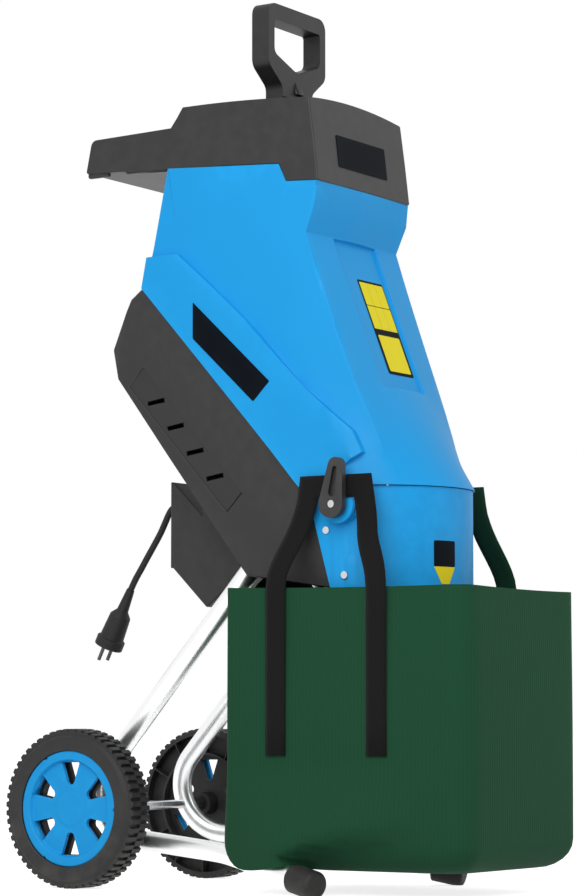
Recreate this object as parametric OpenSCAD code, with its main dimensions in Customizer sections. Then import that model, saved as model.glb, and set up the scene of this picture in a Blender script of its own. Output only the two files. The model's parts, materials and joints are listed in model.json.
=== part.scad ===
// Upright garden shredder: a tilting feed hopper over a belt driven knife disc, a discharge
// chute over a hanging catch bag, and a bent tube frame on two wheels and two feet.
// Lengths are in millimetres. Everything is drawn from the middle of the wheel axle:
// x runs across, -y is the bag end, +y is the user's end. The last step stands it on the ground.

/* [Wheels] */
// Diameter of each wheel over the tread
wheel_d = 200; // [192:1:204]
// Width of each wheel
tyre_w = 43; // [36:1:44]
// Distance between the middle planes of the wheels
wheel_track = 299; // [298:1:312]
// Diameter of the coloured wheel trim
rim_d = 145; // [136:1:150]
// Height of the tread lugs
lug_h = 3.5; // [2.5:0.5:5]
// Number of tread lugs around each wheel
lug_count = 56; // [44:1:60]
// Number of spokes in each wheel
spoke_count = 6; // [5:1:7]
// Diameter of the axle
axle_d = 12; // [10:0.5:14]

/* [Frame] */
// Outer diameter of the frame tubes
tube_d = 25; // [22:0.5:25.5]
// Wall of the frame tubes
tube_wall = 2; // [1:0.1:3]
// Distance between the upper legs of the two tubes
tube_span = 168; // [164:1:169]
// Slope of the upper legs above the floor, in degrees
leg_slope = 48.5; // [47:0.1:50]
// Fall of the lower legs towards the feet, in degrees
leg_dip = 4.8; // [4.5:0.1:5.1]
// Outward splay of the lower legs, in degrees
leg_splay = 9; // [8.6:0.1:9.4]
// Bend radius of the tubes at the axle
bend_r = 62; // [57:1:64]
// Distance of the slight second bend from the first one
knee_at = 285; // [280:1:290]
// Bend radius of the second bend
knee_r = 220; // [150:5:260]
// Fall of the tube's end behind the foot, in degrees
foot_dip = 11.1; // [10.9:0.1:11.4]
// Outward splay of the tube's end behind the foot, in degrees
foot_splay = 16.5; // [16.2:0.1:17]
// Diameter of the rubber foot caps
foot_d = 35; // [32:0.5:40]
// Length of the rubber foot caps
foot_len = 42; // [34:1:44]

/* [Split line] */
// Slope of the split between hopper and motor housing, in degrees
split_slope = 47.6; // [47:0.1:48.2]
// Length of the split
split_len = 354; // [350:1:358]
// Height of the split's upper end above the axle
split_z = 660; // [655:1:665]

/* [Motor housing] */
// Depth of the housing below the split
housing_depth = 118; // [116:1:124]
// Wall of the housing
housing_wall = 3.5; // [2.5:0.1:4.5]
// Number of cooling slots on each side
vent_count = 4; // [2:1:6]

/* [Hopper] */
// Width of the hopper's upper part
hopper_w = 222; // [216:1:228]
// Diameter of the round skirt over the chute
skirt_d = 248; // [246:1:254]
// Wall of hopper, cover and chute
shell_wall = 3.5; // [2.5:0.1:4.5]
// How far the side bands stand proud
band_proud = 8; // [5:0.5:9]
// Height of the skirt's seam above the axle
seam_z = 395; // [392:1:398]

/* [Cover] */
// Height of the arched cover's crown above the axle
crown_z = 912; // [905:1:920]
// Rise of the arched top from side to crown
crown_rise = 22; // [15:1:30]
// How far the feed tray reaches behind the axle
tray_y = 21; // [5:1:35]

/* [Pusher] */
// Width of the D grip
grip_w = 134; // [120:1:150]
// Height of the D grip over the cover
grip_h = 112; // [100:1:125]
// Thickness of the D grip
grip_t = 26; // [22:0.5:30]
// Width of the pusher blade
blade_w = 70; // [60:1:80]
// Length of the pusher blade inside the cover
blade_len = 240; // [180:1:260]

/* [Cutter] */
// Diameter of the knife disc
disc_d = 180; // [160:1:186]
// Thickness of the knife disc
disc_t = 6; // [5:0.5:7]
// Number of knives
knife_count = 2; // [2:1:3]
// Diameter of the spindle
spindle_d = 17; // [14:0.5:20]

/* [Drive] */
// Distance of the spindle down the split
spindle_u = 299; // [294:1:302]
// Distance of the motor down the split
motor_u = 110; // [104:1:116]
// Diameter of the motor
motor_d = 94; // [86:1:98]
// Seat diameter of the spindle pulley
big_pulley_d = 112; // [100:1:118]
// Seat diameter of the motor pulley
small_pulley_d = 28; // [22:1:32]
// Width of the drive belt
belt_w = 12; // [8:1:14]
// Thickness of the drive belt
belt_t = 4; // [3:0.5:5]

/* [Bag] */
// Width of the catch bag
bag_w = 284; // [276:1:300]
// Depth of the catch bag from back to front
bag_depth = 345; // [320:1:370]
// Height of the catch bag
bag_h = 340; // [320:1:344]
// Wall of the catch bag
bag_wall = 3; // [2:0.5:4]
// Width of the bag's straps
strap_w = 28; // [22:1:32]
// Thickness of the bag's straps
strap_t = 1.7; // [1:0.1:2.5]

/* [Lock lever] */
// Length of the lever from pivot to tip
lever_len = 57; // [45:1:62]
// Diameter of the lever's hub
lever_hub_d = 34; // [28:1:38]
// Thickness of the lever
lever_t = 9; // [6:0.5:12]
// Lean of the lever towards the bag, in degrees
lever_lean = 8; // [0:1:20]

/* [Switch box] */
// Width of the switch box
switch_w = 90; // [80:1:100]
// Wall of the switch box
switch_wall = 3; // [2:0.5:4]
// Travel of the on and off buttons
button_travel = 3; // [2:0.5:4]

/* [Mains lead] */
// Diameter of the lead
cord_d = 7.5; // [6:0.5:9]
// Diameter of the plug
plug_d = 38; // [34:1:42]
// Length of the plug pins
pin_len = 19; // [17:0.5:20]
// Diameter of the plug pins
pin_d = 4.8; // [4:0.1:5]

/* [Hidden] */
$fn = 48;

// Clearances
run_gap = 0.05;
body_gap = 0.6;
seat_gap = 0.02;
far = 700;

// Colours as the object shows them
blue = [0.16, 0.60, 0.88];
black = [0.22, 0.22, 0.23];
rubber = [0.12, 0.12, 0.12];
silver = [0.80, 0.81, 0.82];
steel = [0.55, 0.56, 0.58];
green = [0.10, 0.27, 0.18];

// Vectors and outlines
function unit(v) = v / norm(v);
function left_of(v) = [-v[1], v[0]];
// Moves every edge of an anticlockwise outline inwards by d
function inset(p, d) = let (n = len(p)) [for (i = [0:n - 1])
    let (a = left_of(unit(p[i] - p[(i + n - 1) % n])), b = left_of(unit(p[(i + 1) % n] - p[i])))
    p[i] + d * (a + b) / (1 + a * b)];
// Rounds the corners of an outline whose points are [x, y, radius]
function rounded(p, steps = 5) = let (n = len(p)) [for (i = [0:n - 1])
    let (c = [p[i][0], p[i][1]], r = p[i][2],
         q = p[(i + n - 1) % n], s = p[(i + 1) % n],
         a = unit([q[0], q[1]] - c), b = unit([s[0], s[1]] - c),
         half = acos(a * b) / 2, m = c + unit(a + b) * r / sin(half),
         from = c + a * r / tan(half) - m, to = c + b * r / tan(half) - m,
         a0 = atan2(from[1], from[0]), turn = atan2(to[1], to[0]) - a0,
         sweep = turn > 180 ? turn - 360 : turn < -180 ? turn + 360 : turn)
    for (k = [0:r > 0 ? steps : 0]) r > 0
        ? m + r * [cos(a0 + sweep * k / steps), sin(a0 + sweep * k / steps)] : c];

// Draws a side outline of [y, z] points across the middle, w wide
module across(w) rotate([90, 0, 90]) linear_extrude(w, center = true) children();
// The same between two places across
module across_from(x0, x1) translate([x0, 0, 0]) rotate([90, 0, 90]) linear_extrude(x1 - x0) children();
// Turns a shape that stands along z so that it runs along x
module along_x() rotate([0, 90, 0]) children();
module both_sides() for (s = [0, 1]) mirror([s, 0, 0]) children();
// A skin over rings of points, each ring anticlockwise from above, lowest first
module loft(rings) {
    n = len(rings[0]);
    m = len(rings);
    sides = [for (j = [0:m - 2], k = [0:n - 1])
        let (a = j * n + k, b = j * n + (k + 1) % n)
        each [[a, a + n, b + n], [a, b + n, b]]];
    polyhedron([for (r = rings) each r],
        concat([[for (k = [0:n - 1]) k]], sides, [[for (k = [n - 1:-1:0]) (m - 1) * n + k]]));
}

// Places
wheel_r = wheel_d / 2;
axle_r = axle_d / 2;
wheel_x = wheel_track / 2;
split_y = -73;
bag_front = -562;
row_y = -(wheel_r + bag_front) / 2;
down = [-cos(split_slope), -sin(split_slope)];
out = [-sin(split_slope), cos(split_slope)];
// Point u down the split line and w out of it, as [y, z]
function on_split(u, w) = [split_y, split_z] + u * down + w * out;
// Outline of [u, w] points made ready for across() inside split_frame()
function uw(p) = [for (q = p) [-q[0], q[1]]];
module place() translate([0, row_y, wheel_r]) children();
// Frame on the split line: x across, -y down the slope, z out of the split
module split_frame() translate([0, split_y, split_z]) rotate([split_slope, 0, 0]) children();
module at_spindle() split_frame() translate([0, -spindle_u, 0]) children();
module at_motor() split_frame() translate([0, -motor_u, 0]) children();

// Wheels
hub_r = axle_r + 9;
web_t = 6;
trim_r = rim_d / 2;
tread_r = wheel_r - lug_h;
hub_out = 6;
hub_in = tyre_w / 2 + 4;
trim_z = 9;
trim_t = 5;
trim_face = tyre_w / 2 - 3;
cap_z = hub_out + 5;
rib_count = 12;
rib_t = 1.6;
recess_r = [trim_r - 4, tread_r - 5];
recess_depth = tyre_w / 2 - web_t;
window_r = [trim_r * 0.5, trim_r * 0.8];
tip_r = 6.5;
spoke_half = 19.5;
inner_ring = [trim_r - 8, trim_r - 5];

// Window between two spokes: a round tip towards the hub and a straight outer edge
module spoke_window() {
    edge = window_r[1] * tan(180 / spoke_count) - spoke_half;
    translate([window_r[0], 0]) circle(tip_r);
    polygon([[window_r[0], -tip_r], [window_r[1], -edge], [window_r[1], edge], [window_r[0], tip_r]]);
}
module spoke_windows(h) for (i = [0:spoke_count - 1])
    rotate(360 * i / spoke_count) linear_extrude(h) spoke_window();
// Toothed ring for one half of the tread
module lug_ring(turn, h) {
    pitch = 360 / lug_count;
    rotate(turn * pitch) linear_extrude(h) difference() {
        polygon([for (i = [0:lug_count - 1]) for (c = [[0, 0], [0.12, 1], [0.62, 1], [0.74, 0]])
            let (r = tread_r + c[1] * lug_h, a = (i + c[0]) * pitch) r * [cos(a), sin(a)]]);
        circle(tread_r - 6);
    }
}
// Thin ribs between two radii, h high
module ribs(r1, r2, h) for (i = [0:rib_count - 1]) rotate(360 * i / rib_count)
    translate([r1, -rib_t / 2, 0]) cube([r2 - r1, rib_t, h]);
module wheel() {
    half = tyre_w / 2;
    shoulder = 5;
    crown = tread_r - 2;
    difference() {
        union() {
            rotate_extrude($fn = 96) polygon([
                [trim_r + 0.3, -half + 1], [trim_r + 2, -half], [crown - shoulder, -half],
                [crown, -half + shoulder], [crown, half - shoulder],
                [crown - shoulder, half], [trim_r + 2, half], [trim_r + 0.3, half - 1]]);
            rotate_extrude() polygon([
                [axle_r + run_gap, -hub_in], [hub_r, -hub_in], [hub_r, -web_t], [trim_r + 1, -web_t],
                [trim_r + 1, 0], [hub_r, 0], [hub_r, hub_out], [axle_r + run_gap, hub_out]]);
            lug_ring(0, half - 4);
            translate([0, 0, 4 - half]) lug_ring(0.5, half - 4);
            translate([0, 0, 2 - half]) rotate_extrude() translate([inner_ring[0], 0])
                square([inner_ring[1] - inner_ring[0], half - web_t]);
            translate([0, 0, 2 - half]) ribs(inner_ring[0] + 1, trim_r + 2, half - web_t);
        }
        translate([0, 0, -half - 1]) difference() {
            rotate_extrude() translate([recess_r[0], 0])
                square([recess_r[1] - recess_r[0], recess_depth]);
            ribs(inner_ring[0], wheel_r, recess_depth + 1);
        }
        translate([0, 0, -web_t - 1]) spoke_windows(web_t + 2);
    }
}
module wheel_trim() {
    lip = 11;
    notch = 5;
    difference() {
        rotate_extrude() polygon([
            [0, cap_z], [hub_r + 2, cap_z], [hub_r + 2, trim_z], [trim_r - lip - 2, trim_z],
            [trim_r - lip, 0.4], [trim_r, 0.4], [trim_r, trim_face], [trim_r - 1, trim_face + 1],
            [trim_r - lip, trim_face + 1], [trim_r - lip - 3, trim_z + trim_t],
            [hub_r + 8, trim_z + trim_t], [hub_r + 5, trim_z + trim_t + 1], [0, trim_z + trim_t + 1]]);
        spoke_windows(trim_z + trim_t + 4);
        for (i = [0:2]) rotate(120 * i - 90) translate([trim_r - 2, -notch / 2, trim_face - 2])
            cube([4, notch, 6]);
    }
}
// Carries a wheel shape, drawn with its outer face up, to the left or right end of the axle
module at_wheel(side) mirror([side < 0 ? 1 : 0, 0, 0]) translate([wheel_x, 0, 0]) along_x() children();

module left_wheel() color(rubber) at_wheel(-1) wheel();
module right_wheel() color(rubber) at_wheel(1) wheel();
module left_wheel_trim() color(blue) at_wheel(-1) wheel_trim();
module right_wheel_trim() color(blue) at_wheel(1) wheel_trim();

clip_t = 2;
axle_end = wheel_x + hub_out + body_gap + clip_t + 1;
module axle() color(steel) along_x() cylinder(r = axle_r, h = 2 * axle_end, center = true);
module axle_clips() color(steel) both_sides() translate([wheel_x + hub_out + body_gap, 0, 0]) along_x()
    difference() {
        cylinder(r = axle_r + 4, h = clip_t);
        translate([0, 0, -1]) cylinder(r = axle_r + seat_gap, h = clip_t + 2);
    }

// Frame tubes: an upper leg into the housing, a bend over the axle, a lower leg and its foot end
tube_r = tube_d / 2;
tube_x = tube_span / 2;
foot_flat = 3;
leg_up = [0, -cos(leg_slope), sin(leg_slope)];
function heading(splay, dip) = [sin(splay) * cos(dip), -cos(splay) * cos(dip), -sin(dip)];
leg_low = heading(leg_splay, leg_dip);
leg_foot = heading(foot_splay, foot_dip);
bend_half = acos(leg_up * leg_low) / 2;
bisector = unit(leg_up + leg_low);
to_axle = bend_r * (1 / sin(bend_half) - 1);
corner = [tube_x, -bisector[1] * to_axle, -bisector[2] * to_axle];
tangent_len = bend_r / tan(bend_half);
knee = corner + leg_low * knee_at;
knee_half = acos(-leg_low * leg_foot) / 2;
knee_tangent = knee_r / tan(knee_half);
foot_run = (knee[2] + wheel_r - foot_d / 2 + foot_flat) / sin(foot_dip);
foot_end = knee + leg_foot * foot_run;
foot_wall = 4;
socket_u = split_len + 3;
socket_w = -45;
up_end = on_split(socket_u, socket_w);
up_len = (up_end[1] - corner[2]) / sin(leg_slope);

// Frame with z along a direction, standing on a point
module aim(from, dir) {
    side = unit(abs(dir[0]) > 0.9 ? cross(dir, [0, 1, 0]) : cross(dir, [1, 0, 0]));
    up = cross(dir, side);
    multmatrix([[side[0], up[0], dir[0], from[0]], [side[1], up[1], dir[1], from[1]],
                [side[2], up[2], dir[2], from[2]], [0, 0, 0, 1]]) children();
}
// A bend is a hair thicker than the legs, and the legs lap into it
swell = 0.03;
lap = 0.4;
// A straight length of tube from a point, h long
module tube_leg(from, dir, h) aim(from, dir) difference() {
    cylinder(r = tube_r, h = h);
    translate([0, 0, -1]) cylinder(r = tube_r - tube_wall, h = h + 2);
}
// A bend of radius r between two directions that leave one point
module tube_bend(from, dir1, dir2, r) {
    half = acos(dir1 * dir2) / 2;
    mid = from + unit(dir1 + dir2) * r / sin(half);
    e1 = unit(from + dir1 * r / tan(half) - mid);
    e2 = unit(from + dir2 * r / tan(half) - mid);
    axis = unit(cross(e1, e2));
    e3 = cross(axis, e1);
    multmatrix([[e1[0], e3[0], axis[0], mid[0]], [e1[1], e3[1], axis[1], mid[1]],
                [e1[2], e3[2], axis[2], mid[2]], [0, 0, 0, 1]])
        rotate_extrude(angle = 180 - 2 * half) translate([r, 0]) difference() {
            circle(tube_r + swell);
            circle(tube_r - tube_wall - swell);
        }
}
frame_screw_r = 2.5;
frame_screw_head = 5;
socket_r = tube_r + 4;
screw_back = 30;
module frame_screw_hole(r) translate(corner + leg_up * (up_len - screw_back)) along_x()
    translate([0, 0, -tube_x]) cylinder(r = r, h = tube_x - tube_r + 5);
module frame_tube() difference() {
    union() {
        tube_leg(corner + leg_up * (tangent_len - lap), leg_up, up_len - tangent_len + lap);
        tube_leg(corner + leg_low * (tangent_len - lap), leg_low,
            knee_at - tangent_len - knee_tangent + 2 * lap);
        tube_leg(knee + leg_foot * (knee_tangent - lap), leg_foot,
            foot_run - knee_tangent - foot_wall + lap);
        tube_bend(corner, leg_up, leg_low, bend_r);
        tube_bend(knee, -leg_low, leg_foot, knee_r);
    }
    along_x() cylinder(r = axle_r + seat_gap, h = wheel_x);
    frame_screw_hole(frame_screw_r + seat_gap);
}
module left_frame_tube() color(silver) mirror([1, 0, 0]) frame_tube();
module right_frame_tube() color(silver) frame_tube();
module frame_screws() color(steel) both_sides()
    translate(corner + leg_up * (up_len - screw_back)) along_x() {
        translate([0, 0, -socket_r - 4]) cylinder(r = frame_screw_head, h = 4);
        translate([0, 0, -socket_r - 1]) cylinder(r = frame_screw_r, h = socket_r - tube_r + 5);
    }
module foot_cap() {
    edge = 5;
    difference() {
        aim(foot_end, -leg_foot) rotate_extrude() polygon(rounded([
            [0, 0, 0], [foot_d / 2, 0, edge], [foot_d / 2, foot_len, 2],
            [tube_r + seat_gap, foot_len, 0], [tube_r + seat_gap, foot_wall + seat_gap, 0],
            [0, foot_wall + seat_gap, 0]]));
        translate([0, -far, -wheel_r - 50]) cube([far, far, 50]);
    }
}
module left_foot_cap() color(rubber) mirror([1, 0, 0]) foot_cap();
module right_foot_cap() color(rubber) foot_cap();
spacer_in = corner[0] + bisector[0] * to_axle + tube_r + 3;
module axle_spacers() color(black) both_sides() translate([spacer_in, 0, 0]) along_x() difference() {
    cylinder(r = axle_r + 3, h = wheel_x - hub_in - body_gap - spacer_in);
    translate([0, 0, -1]) cylinder(r = axle_r + seat_gap, h = wheel_x);
}

// Motor housing below the split
housing_half = hopper_w / 2 + band_proud - 2;
crease_w = 36;
side_draft = 9;
housing_outline = [[0, 0], [-2, -21], [22, -85], [55, 11 - housing_depth], [175, -housing_depth],
    [split_len + 25, -housing_depth - 17], [split_len + 126, -52], [split_len + 43, -10],
    [split_len, 0]];
plate_top = 3;
plate_t = 6;
plate_under = -plate_top - plate_t;
post_inset = 39;
post_u = [30, 190, split_len - post_inset];
post_t = 14;
post_deep = 50;
plate_half = housing_half - housing_wall - body_gap;
post_x = plate_half - 10;
screw_r = 2.4;
hinge_u = -10;
hinge_w = -6;
hinge_at = on_split(hinge_u, hinge_w);
pin_r = 3;
knuckle_r = 7;
knuckle_x = 38;
ear_t = 16;
vent_u = [75, 300];
vent_w = [-68, -102];
vent_deep = 1.5;
vent_slot = 5;

// Half width of the housing at a depth w, with its drafted lower sides
function housing_x(w) = housing_half - side_draft * max(0, -w - crease_w) / (housing_depth - crease_w);
module housing_block(d) intersection() {
    across(far) polygon(uw(inset(housing_outline, d)));
    rotate([90, 0, 0]) linear_extrude(2 * far, center = true) polygon([
        [-housing_half + d, 10], [-housing_half + d, -crease_w], [d - housing_x(-200), -200],
        [housing_x(-200) - d, -200], [housing_half - d, -crease_w], [housing_half - d, 10]]);
}
module vent_panel() {
    both_sides() translate([0, -vent_u[0], 0]) rotate([90, 0, 0]) linear_extrude(vent_u[1] - vent_u[0])
        polygon([[housing_x(vent_w[0]) - vent_deep, vent_w[0]], [housing_x(vent_w[0]) + 9, vent_w[0]],
            [housing_x(vent_w[1]) + 9, vent_w[1]], [housing_x(vent_w[1]) - vent_deep, vent_w[1]]]);
    pitch = (vent_u[1] - vent_u[0]) / (vent_count + 1);
    for (i = [1:vent_count]) translate([0, -vent_u[0] - i * pitch, (vent_w[0] + vent_w[1]) / 2])
        rotate([35, 0, 0]) cube([far, vent_slot, (vent_w[0] - vent_w[1]) * 0.8], center = true);
}
socket_len = 95;
// Round the upper leg's end: lead starts it lower and cap carries it past the end
module tube_socket(r, lead, cap) both_sides()
    aim(corner + leg_up * (up_len - socket_len - lead), leg_up)
        cylinder(r = r, h = socket_len + lead + cap);
module hinge_ear() translate([0, -hinge_u, hinge_w]) {
    along_x() cylinder(r = knuckle_r, h = ear_t);
    across_from(0, ear_t) polygon([[knuckle_r, 0], [-10, 0], [-10, -22], [-5, -26]]);
}
cheek_x = [skirt_d / 2 - 12.6, skirt_d / 2 - 8.6];
cheek_y = 30;
front_line = [on_split(split_len, 0), on_split(split_len + 43, -10), on_split(split_len + 126, -52)];
// Strip along the housing's nose from y0 to y1 beside it, d short of both its ends
function nose_strip(y0, y1, d) = let (step = d * unit(front_line[2] - front_line[1]),
    top = front_line[1] + step, low = front_line[2] - step)
    [top + [y1, 0], top + [y0, 0], low + [y0, 0], low + [y1, 0]];
module motor_housing() color(black) {
    difference() {
        union() {
            difference() {
                split_frame() housing_block(0);
                split_frame() housing_block(housing_wall);
                split_frame() translate([0, -split_len / 2, 0]) cube([2 * (housing_half - housing_wall),
                    split_len - 4 * housing_wall, 12], center = true);
            }
            intersection() {
                union() {
                    split_frame() both_sides() for (u = post_u)
                        translate([post_x - 2, -u - post_t / 2, plate_under - post_deep])
                            cube([50, post_t, post_deep]);
                    tube_socket(socket_r, 0, 4);
                }
                split_frame() housing_block(1);
            }
            split_frame() both_sides() translate([knuckle_x + body_gap, 0, 0]) hinge_ear();
            both_sides() across_from(cheek_x[0], cheek_x[1]) polygon(nose_strip(-cheek_y, 2, 6));
            both_sides() across_from(housing_x(-80) - housing_wall - 1, cheek_x[1])
                polygon(nose_strip(0, 8, 8));
        }
        tube_socket(tube_r + seat_gap, 10, 0);
        both_sides() frame_screw_hole(frame_screw_r + seat_gap);
        split_frame() both_sides() for (u = post_u) translate([post_x + 4, -u, plate_under - 20])
            cylinder(r = screw_r + seat_gap, h = 30);
        split_frame() translate([0, -hinge_u, hinge_w]) along_x()
            cylinder(r = pin_r + seat_gap, h = far, center = true);
        split_frame() vent_panel();
        both_sides() for (p = chute_screw_at) translate([0, p[0], p[1]]) along_x()
            cylinder(r = screw_r + seat_gap, h = far);
    }
}
module hinge_pin() color(steel) translate([0, hinge_at[0], hinge_at[1]]) along_x()
    cylinder(r = pin_r, h = 2 * (knuckle_x + body_gap + ear_t), center = true);

// Base plate with the spindle's bearing tube
bearing_r = spindle_d / 2 + 9;
bearing_t = 12;
tube_deep = 72;
belt_mid = -88;
plate_len = split_len - 4 * housing_wall - 2 * body_gap;
motor_flange_r = motor_d / 2 + 8;
module base_plate() color(silver) split_frame() difference() {
    union() {
        translate([-plate_half, -split_len / 2 - plate_len / 2, plate_under])
            cube([2 * plate_half, plate_len, plate_t]);
        translate([0, -spindle_u, -tube_deep])
            cylinder(r = bearing_r + 5, h = tube_deep - plate_top - 1);
    }
    translate([0, -spindle_u, -tube_deep - 1]) cylinder(r = bearing_r + seat_gap, h = tube_deep + 1);
    translate([0, -motor_u, -50]) cylinder(r = motor_d / 2 + body_gap, h = 100);
    both_sides() for (u = post_u) translate([post_x + 4, -u, -50])
        cylinder(r = screw_r + seat_gap, h = 100);
}
module base_plate_screws() color(steel) split_frame() both_sides() for (u = post_u)
    translate([post_x + 4, -u, 0]) {
        translate([0, 0, -plate_top]) cylinder(r = screw_r * 2, h = 2.2);
        translate([0, 0, plate_under - 16]) cylinder(r = screw_r, h = 16 + plate_t + 1);
    }
module spindle_bearings() color(steel) at_spindle()
    for (z = [-plate_top - bearing_t - 1, -tube_deep + 1]) translate([0, 0, z]) difference() {
        cylinder(r = bearing_r, h = bearing_t);
        translate([0, 0, -1]) cylinder(r = spindle_d / 2 + run_gap, h = bearing_t + 2);
    }

// Cutter, all turning with the spindle
disc_w = 4;
disc_top = disc_w + disc_t;
knife_t = 4;
knife_size = [disc_d / 2 - 28, 34];
nut_t = 7;
pulley_flange = 3;
big_r = big_pulley_d / 2;
small_r = small_pulley_d / 2;
pulley_h = belt_w + 2 * body_gap;
module spindle() color(steel) at_spindle() translate([0, 0, belt_mid - 12])
    cylinder(r = spindle_d / 2, h = disc_top + nut_t + 0.8 - belt_mid + 12);
// A belt pulley: a seat between two flanges on a bored hub
module pulley(seat_r, bore_r) rotate_extrude($fn = 72) polygon([
    [bore_r + seat_gap, -pulley_h / 2 - 2], [seat_r + pulley_flange, -pulley_h / 2 - 2],
    [seat_r + pulley_flange, -pulley_h / 2], [seat_r, -pulley_h / 2], [seat_r, pulley_h / 2],
    [seat_r + pulley_flange, pulley_h / 2], [seat_r + pulley_flange, pulley_h / 2 + 2],
    [bore_r + seat_gap, pulley_h / 2 + 2]]);
module spindle_pulley() color(black) at_spindle() translate([0, 0, belt_mid])
    pulley(big_r, spindle_d / 2);
module knife_bolt_places() for (i = [0:knife_count - 1]) rotate(360 * i / knife_count)
    for (x = [0.25, 0.75]) translate([22 + knife_size[0] * x, 6, 0]) children();
module knife_disc() color(steel) at_spindle() difference() {
    translate([0, 0, disc_w]) cylinder(r = disc_d / 2, h = disc_t, $fn = 96);
    cylinder(r = spindle_d / 2 + seat_gap, h = 40, center = true);
    for (i = [0:knife_count - 1]) rotate(360 * i / knife_count)
        translate([24, -22, 0]) cube([knife_size[0] - 4, 12, 40]);
    knife_bolt_places() cylinder(r = 3 + seat_gap, h = 40, center = true);
}
module knives() color(silver) at_spindle() difference() {
    for (i = [0:knife_count - 1]) rotate(360 * i / knife_count) translate([22, 0, disc_top])
        rotate([90, 0, 90]) linear_extrude(knife_size[0])
            polygon([[-14, 0], [knife_size[1] - 14, 0], [knife_size[1] - 14, knife_t],
                [-14 + knife_t, knife_t]]);
    knife_bolt_places() cylinder(r = 3 + seat_gap, h = 40, center = true);
}
module knife_bolts() color(steel) at_spindle() knife_bolt_places()
    translate([0, 0, disc_w + 1]) cylinder(r = 3, h = disc_t - 1 + knife_t);
module disc_nut() color(steel) at_spindle() translate([0, 0, disc_top]) difference() {
    cylinder(r = spindle_d / 2 + 6, h = nut_t, $fn = 6);
    translate([0, 0, -1]) cylinder(r = spindle_d / 2 + seat_gap, h = nut_t + 2);
}

// Motor beside the spindle, its shaft down to the belt
motor_r = motor_d / 2;
shaft_r = 6;
can_top = 8;
can_low = -70;
can_wall = 2.4;
bell_t = 5;
rotor_r = 25;
air_gap = 1.5;
module motor_can() color(steel) at_motor() rotate_extrude($fn = 72) polygon([
    [motor_r - can_wall, can_low], [motor_r, can_low], [motor_r, plate_under - 4],
    [motor_flange_r, plate_under - 4], [motor_flange_r, plate_under], [motor_r, plate_under],
    [motor_r, can_top], [motor_r - can_wall, can_top]]);
module stator() color(steel) at_motor() rotate_extrude($fn = 72) polygon([
    [rotor_r + air_gap, -42], [motor_r - can_wall - seat_gap, -42],
    [motor_r - can_wall - seat_gap, 2], [rotor_r + air_gap, 2]]);
module motor_top_bell() color(black) at_motor() rotate_extrude($fn = 72) polygon([
    [shaft_r + run_gap, can_top - 2], [14, can_top - 2], [14, can_top], [motor_r, can_top],
    [motor_r, can_top + bell_t], [20, can_top + bell_t + 3], [16, can_top + 11], [0, can_top + 11],
    [0, can_top + 8], [shaft_r + run_gap, can_top + 8]]);
module motor_bottom_bell() color(black) at_motor() rotate_extrude($fn = 72) polygon([
    [shaft_r + run_gap, can_low], [motor_r - can_wall - seat_gap, can_low],
    [motor_r - can_wall - seat_gap, can_low + bell_t], [shaft_r + run_gap, can_low + bell_t]]);
module rotor_shaft() color(steel) at_motor() translate([0, 0, belt_mid - 11])
    cylinder(r = shaft_r, h = can_top + 7.5 - belt_mid + 11);
module on_shaft(z, h, r) at_motor() translate([0, 0, z]) difference() {
    cylinder(r = r, h = h);
    translate([0, 0, -1]) cylinder(r = shaft_r + seat_gap, h = h + 2);
}
module armature() color(steel) on_shaft(-40, 38, rotor_r);
module commutator() color([0.72, 0.45, 0.2]) on_shaft(-1.5, 6, 13);
module cooling_fan() color(black) {
    on_shaft(-62, 14, 12);
    at_motor() difference() {
        union() {
            translate([0, 0, -62]) cylinder(r = 38, h = 2);
            for (i = [0:7]) rotate(45 * i) translate([11, -1, -61]) cube([26, 2, 12]);
        }
        translate([0, 0, -70]) cylinder(r = 11, h = 30);
    }
}
module motor_pulley() color(black) at_motor() translate([0, 0, belt_mid]) pulley(small_r, shaft_r);
// Outline of a belt round two pulleys, the large one at the middle
function belt_outline(r_big, r_small, span) = let (lean = asin((r_big - r_small) / span)) concat(
    [for (k = [0:16]) let (a = lean + (180 - 2 * lean) * k / 16)
        [0, span] + r_small * [cos(a), sin(a)]],
    [for (k = [0:32]) let (a = 180 - lean + (180 + 2 * lean) * k / 32) r_big * [cos(a), sin(a)]]);
belt_seat = 0.5;
module belt_loop(d) polygon(belt_outline(big_r + d, small_r + d, spindle_u - motor_u));
module drive_belt() color(rubber) at_spindle() translate([0, 0, belt_mid - belt_w / 2])
    linear_extrude(belt_w) difference() {
        belt_loop(belt_seat + belt_t);
        belt_loop(belt_seat);
    }

// Hopper: a loft from a square top to a round skirt. Each table gives a size at a height.
skirt_r = skirt_d / 2;
skirt_mid_y = -354;
lever_y = skirt_mid_y - 21;
lever_z = seam_z - 24;
fold_z = seam_z + 131;
fold_y = -394;
waist_z = seam_z + 318;
waist_y = -322;
brow_z = waist_z + 34;
brow_y = -334;
rim_z = waist_z + 63;
rim_y = -337;
loft_top = rim_z + 50;
back_z = split_z + 46;
half_width_at = [[seam_z, skirt_r], [seam_z + 35, skirt_r - 3], [seam_z + 75, hopper_w / 2 + 5.5],
    [seam_z + 120, hopper_w / 2 + 2], [seam_z + 165, hopper_w / 2], [loft_top, hopper_w / 2]];
front_at = [[seam_z, skirt_mid_y - skirt_r], [seam_z + 35, -454], [seam_z + 75, -429], [fold_z, fold_y],
    [waist_z, waist_y], [brow_z, brow_y], [rim_z, rim_y], [loft_top, rim_y + 8]];
back_at = [[seam_z, split_y], [split_z, split_y], [split_z + 40, split_y - 8], [back_z, split_y - 13],
    [loft_top, split_y - 38]];
depth_at = [[seam_z, skirt_r], [seam_z + 75, 114], [fold_z, 98], [seam_z + 165, 88], [waist_z, 60],
    [loft_top, 50]];
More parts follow.
